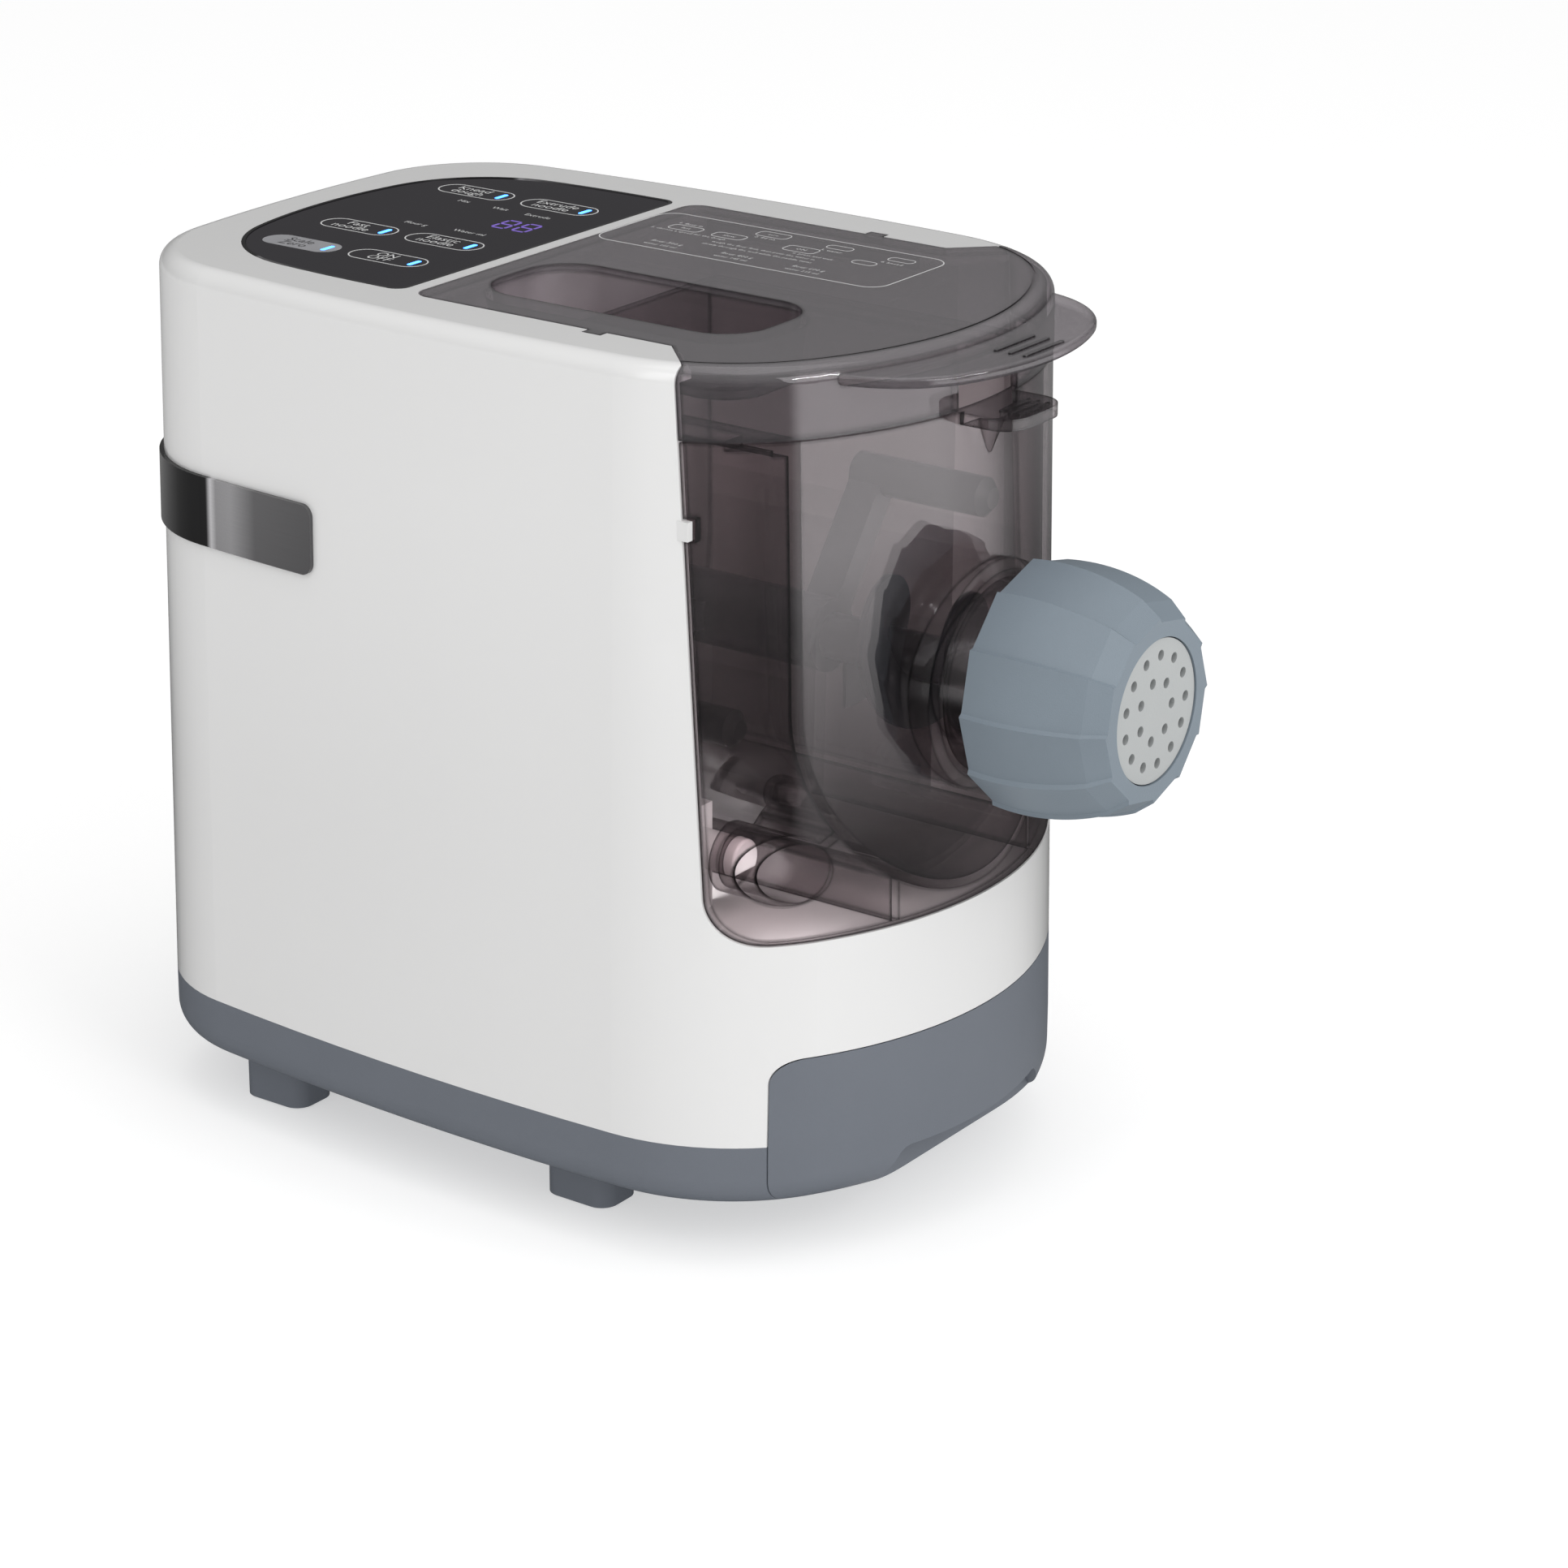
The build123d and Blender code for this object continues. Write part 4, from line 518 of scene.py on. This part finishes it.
# words round the display
STATUS_SIZE = 3.3
STATUS_UP = 0.05
status = {
    "mix": (30.5, 116.6, "Mix"),
    "wait": (29.5, 100.3, "Wait"),
    "press": (28.7, 83.8, "Extrude"),
    "flour": (-2.8, 109.8, "Flour g"),
    "water": (-1.8, 88.2, "Water ml"),
}
for key, (x, y, words) in status.items():
    label("status_" + key, words, (x, y), STATUS_SIZE, PRINT, "machine",
          glass_top + STATUS_UP, steps=2)

# display digits, built from bars: three across and four along
DISPLAY_AT = (14.0, 81.0)
DIGIT_SHIFT = 4.2
DIGIT_THICK = 0.05
BAR_CORNER = 0.4
BARS = (
    (5, 0, 1.0, 4.6), (0, 0, 1.0, 4.6), (-5, 0, 1.0, 4.6),
    (2.5, 2.6, 4.0, 1.0), (-2.5, 2.6, 4.0, 1.0), (2.5, -2.6, 4.0, 1.0), (-2.5, -2.6, 4.0, 1.0),
)
for number, shift in enumerate((DIGIT_SHIFT, -DIGIT_SHIFT)):
    for bar, (bx, by, wide, deep) in enumerate(BARS):
        loop = rounded(DISPLAY_AT[0] + bx, DISPLAY_AT[1] + shift + by, wide, deep,
                       BAR_CORNER, steps=2)
        flat_patch(f"digit_{number}_{bar}", loop, glass_top + LAMP_UP, DIGIT_THICK, DIGIT,
                   "machine")

# ------------------------------------------------------------------ lid print
lid_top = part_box("lid")[1].z / MM
LID_INK = 0.04              # thickness of the print
FRAME_AT = (38.5, -3.5)
FRAME_WIDE = 43.0
FRAME_LONG = 113.0
FRAME_CORNER = 7.0
FRAME_LINE = 0.4
outer = rounded(*FRAME_AT, FRAME_WIDE, FRAME_LONG, FRAME_CORNER)
inner = rounded(*FRAME_AT, FRAME_WIDE - 2 * FRAME_LINE, FRAME_LONG - 2 * FRAME_LINE,
                FRAME_CORNER - FRAME_LINE)
flat_ring("print_frame", outer, inner, lid_top, LID_INK, PRINT, "lid_body")

# small outlined keys inside the frame: place, width and length
LITTLE_CORNER = 2.0
LITTLE_LINE = 0.3
little_keys = (
    (54.0, 6.0, 6.0, 12.5), (44.5, 34.5, 6.0, 12.5), (44.5, 17.0, 6.0, 12.5),
    (44.0, -12.0, 6.5, 12.5), (53.0, -21.0, 4.5, 10.0), (51.5, -46.0, 4.5, 10.0),
    (42.0, -38.0, 4.5, 9.0),
)
for number, (x, y, wide, deep) in enumerate(little_keys):
    edge = rounded(x, y, wide, deep, LITTLE_CORNER, steps=4)
    inside = rounded(x, y, wide - 2 * LITTLE_LINE, deep - 2 * LITTLE_LINE,
                     LITTLE_CORNER - LITTLE_LINE, steps=4)
    flat_ring(f"print_key_{number}", edge, inside, lid_top, LID_INK, PRINT, "lid_body")

# short lines of generic words inside the frame: place, words and size
LINE_UP = 0.03              # above the lid
lines = (
    (49.4, 36.0, "1. flour in", 2.5),
    (49.2, 6.0, "2. lid on", 2.5),
    (48.0, -21.0, "3. water", 2.5),
    (46.5, -45.5, "4. knead", 2.5),
    (54.0, 6.0, "zero", 2.2),
    (44.5, 34.5, "fast", 2.6),
    (44.5, 17.0, "slow", 2.6),
    (44.0, -12.0, "ON", 2.6),
    (39.6, 30.0, "5. choose a speed for the dough", 2.3),
    (39.0, -20.0, "6. press and wait", 2.3),
    (35.6, -3.0, "weigh the flour first, then pour the water in", 2.3),
    (32.0, -3.0, "slowly through the well while the paddle turns", 2.3),
    (25.5, 28.0, "flour 300 g", 2.8),
    (25.5, 0.0, "flour 400 g", 2.8),
    (25.5, -28.0, "flour 600 g", 2.8),
    (21.6, 28.0, "water 105 ml", 2.4),
    (21.6, 0.0, "water 145 ml", 2.4),
    (21.6, -28.0, "water 215 ml", 2.4),
)
for number, (x, y, words, size) in enumerate(lines):
    label(f"print_line_{number}", words, (x, y), size, PRINT, "lid_body",
          lid_top + LINE_UP, steps=1)

# ------------------------------------------------------------------ table
HALF_TABLE = 6.0
TABLE_GLOW = 0.50
# how bright the room looks in a mirror, by bearing: 0 is in front, -90 is the machine's left
MIRRORED = ((-180, 0.12), (-150, 0.16), (-118, 0.20), (-96, 0.22), (-60, 0.05), (-26, 0.05),
            (-19, 0.70), (30, 0.78), (50, 0.50), (66, 0.10), (120, 0.05), (180, 0.12))
# the shade of the machine on the table, as a mirror shows it: its reach and its depth
SHADE_FROM, SHADE_TO = 0.48, 0.90
SHADE_NEAR, SHADE_FAR = 0.4, 3.7

floor_mesh = bpy.data.meshes.new("floor")
corners = [(x * HALF_TABLE, y * HALF_TABLE, 0) for x, y in ((-1, -1), (1, -1), (1, 1), (-1, 1))]
floor_mesh.from_pydata(corners, [], [(0, 1, 2, 3)])
floor = bpy.data.objects.new("floor", floor_mesh)
scene.collection.objects.link(floor)

# The table is pale and faintly lit.  Mirror-like surfaces meet it as a studio would show
# it: bright in front of the machine, where the light stands, and dark to either side.
table, graph, shader = new_material("floor_pale")
place = graph.place()
cloud = graph.noise(place, 0.5)
graph.feed(shader.inputs["Base Color"],
           graph.tint((0.597, 0.597, 0.597), (0.603, 0.603, 0.603), cloud))
shader.inputs["Emission Color"].default_value = (1.0, 1.0, 1.0, 1)
shader.inputs["Emission Strength"].default_value = TABLE_GLOW
shader.inputs["Roughness"].default_value = 0.8
shader.inputs["Specular IOR Level"].default_value = 0.2
axes = graph.axes(place)
bearing = graph.math("ARCTAN2", axes["X"], graph.math("MULTIPLY", axes["Y"], -1.0))
room = graph.ramp(graph.mapped(bearing, 0.0, 1.0, -math.pi, math.pi),
                  [((degrees + 180) / 360, (level, level, level))
                   for degrees, level in MIRRORED])
far = graph.vector("LENGTH", place)["Value"]
strength = graph.mapped(far, SHADE_NEAR, SHADE_FAR, SHADE_FROM, SHADE_TO)
mirrored = graph.add("Emission", {"Color": room, "Strength": strength}).outputs["Emission"]
glossy = graph.add("LightPath", {}).outputs["Is Glossy Ray"]
graph.show(graph.blended(glossy, shader.outputs["BSDF"], mirrored))
floor_mesh.materials.append(table)

# ------------------------------------------------------------------ room
world = bpy.data.worlds.new("world")
scene.world = world
world.use_nodes = True
sky = Graph(world.node_tree)
background = world.node_tree.nodes["Background"]
direction = sky.add("TexCoord", {}).outputs["Generated"]
# the room is darker towards the horizon, and darker still behind the machine
ROOM_FRONT = (-0.45, -0.89, 0.0)
rise = sky.mapped(sky.axes(direction)["Z"], 0.30, 1.0, 0.10, 0.80, "SMOOTHSTEP")
toward = sky.vector("DOT_PRODUCT", direction, ROOM_FRONT)["Value"]
side = sky.mapped(toward, 0.35, 1.5, -0.8, 0.9, "SMOOTHSTEP")
background.inputs["Color"].default_value = (1.0, 1.0, 1.0, 1)
sky.feed(background.inputs["Strength"], sky.math("MULTIPLY", rise, side))


# ------------------------------------------------------------------ lights
def softbox(name, at, toward, wide, tall, power):
    """Rectangular area light aimed at a point."""
    light = bpy.data.lights.new(name, "AREA")
    light.shape = "RECTANGLE"
    light.size = wide
    light.size_y = tall
    light.energy = power
    made = bpy.data.objects.new(name, light)
    scene.collection.objects.link(made)
    aim = Vector(toward) - Vector(at)
    made.rotation_euler = aim.to_track_quat("-Z", "Y").to_euler()
    made.location = at
    return made


def lit_alone(name, *pieces):
    """Collection of the CAD nodes that a light is for."""
    made = bpy.data.collections.new(name)
    for each in pieces:
        made.objects.link(nodes[each])
    return made


softbox("box_left", (-1.6, 0.2, 1.2), (0, 0, 0.15), 0.5, 1.4, 3.0)
softbox("box_front", (-0.45, -1.9, 1.1), (0, -0.05, 0.15), 1.0, 1.2, 11.0)
softbox("box_top", (0.1, 0.0, 2.0), (0, 0, 0.1), 1.4, 1.4, 5.0)

# a narrow bright strip, seen as the ribbon of light along the lid's front edge
strip = softbox("strip_front", (0.0, -1.9, 1.25), (0, 0, 0.2), 1.6, 0.05, 16.0)
strip.light_linking.receiver_collection = lit_alone("smoked_only", "lid", "mixing_chamber")

# lights for the depth of the bay alone, which the smoked drum would leave too dark
bay_only = lit_alone("bay_only", "bay_liner", "guide_pins")
LITTLE_BOX = 0.012
bay_lights = (
    softbox("box_bay", (-0.75, -1.3, 0.75), (-0.05, 0, 0.14), 0.5, 0.5, 8.0),
    softbox("box_corner", (-0.079, -0.092, 0.156), (-0.084, -0.102, 0.108), LITTLE_BOX,
            LITTLE_BOX, 0.03),
    softbox("box_under", (-0.078, -0.045, 0.130), (0.0, 0.04, 0.142), LITTLE_BOX,
            LITTLE_BOX, 0.05),
)
for light in bay_lights:
    light.light_linking.receiver_collection = bay_only
    light.visible_camera = False
    light.visible_glossy = False

scene.view_settings.view_transform = "Standard"
scene.view_settings.look = "None"
scene.view_settings.exposure = 0.0
# the view passes through many walls of smoked plastic
scene.cycles.transparent_max_bounces = 32
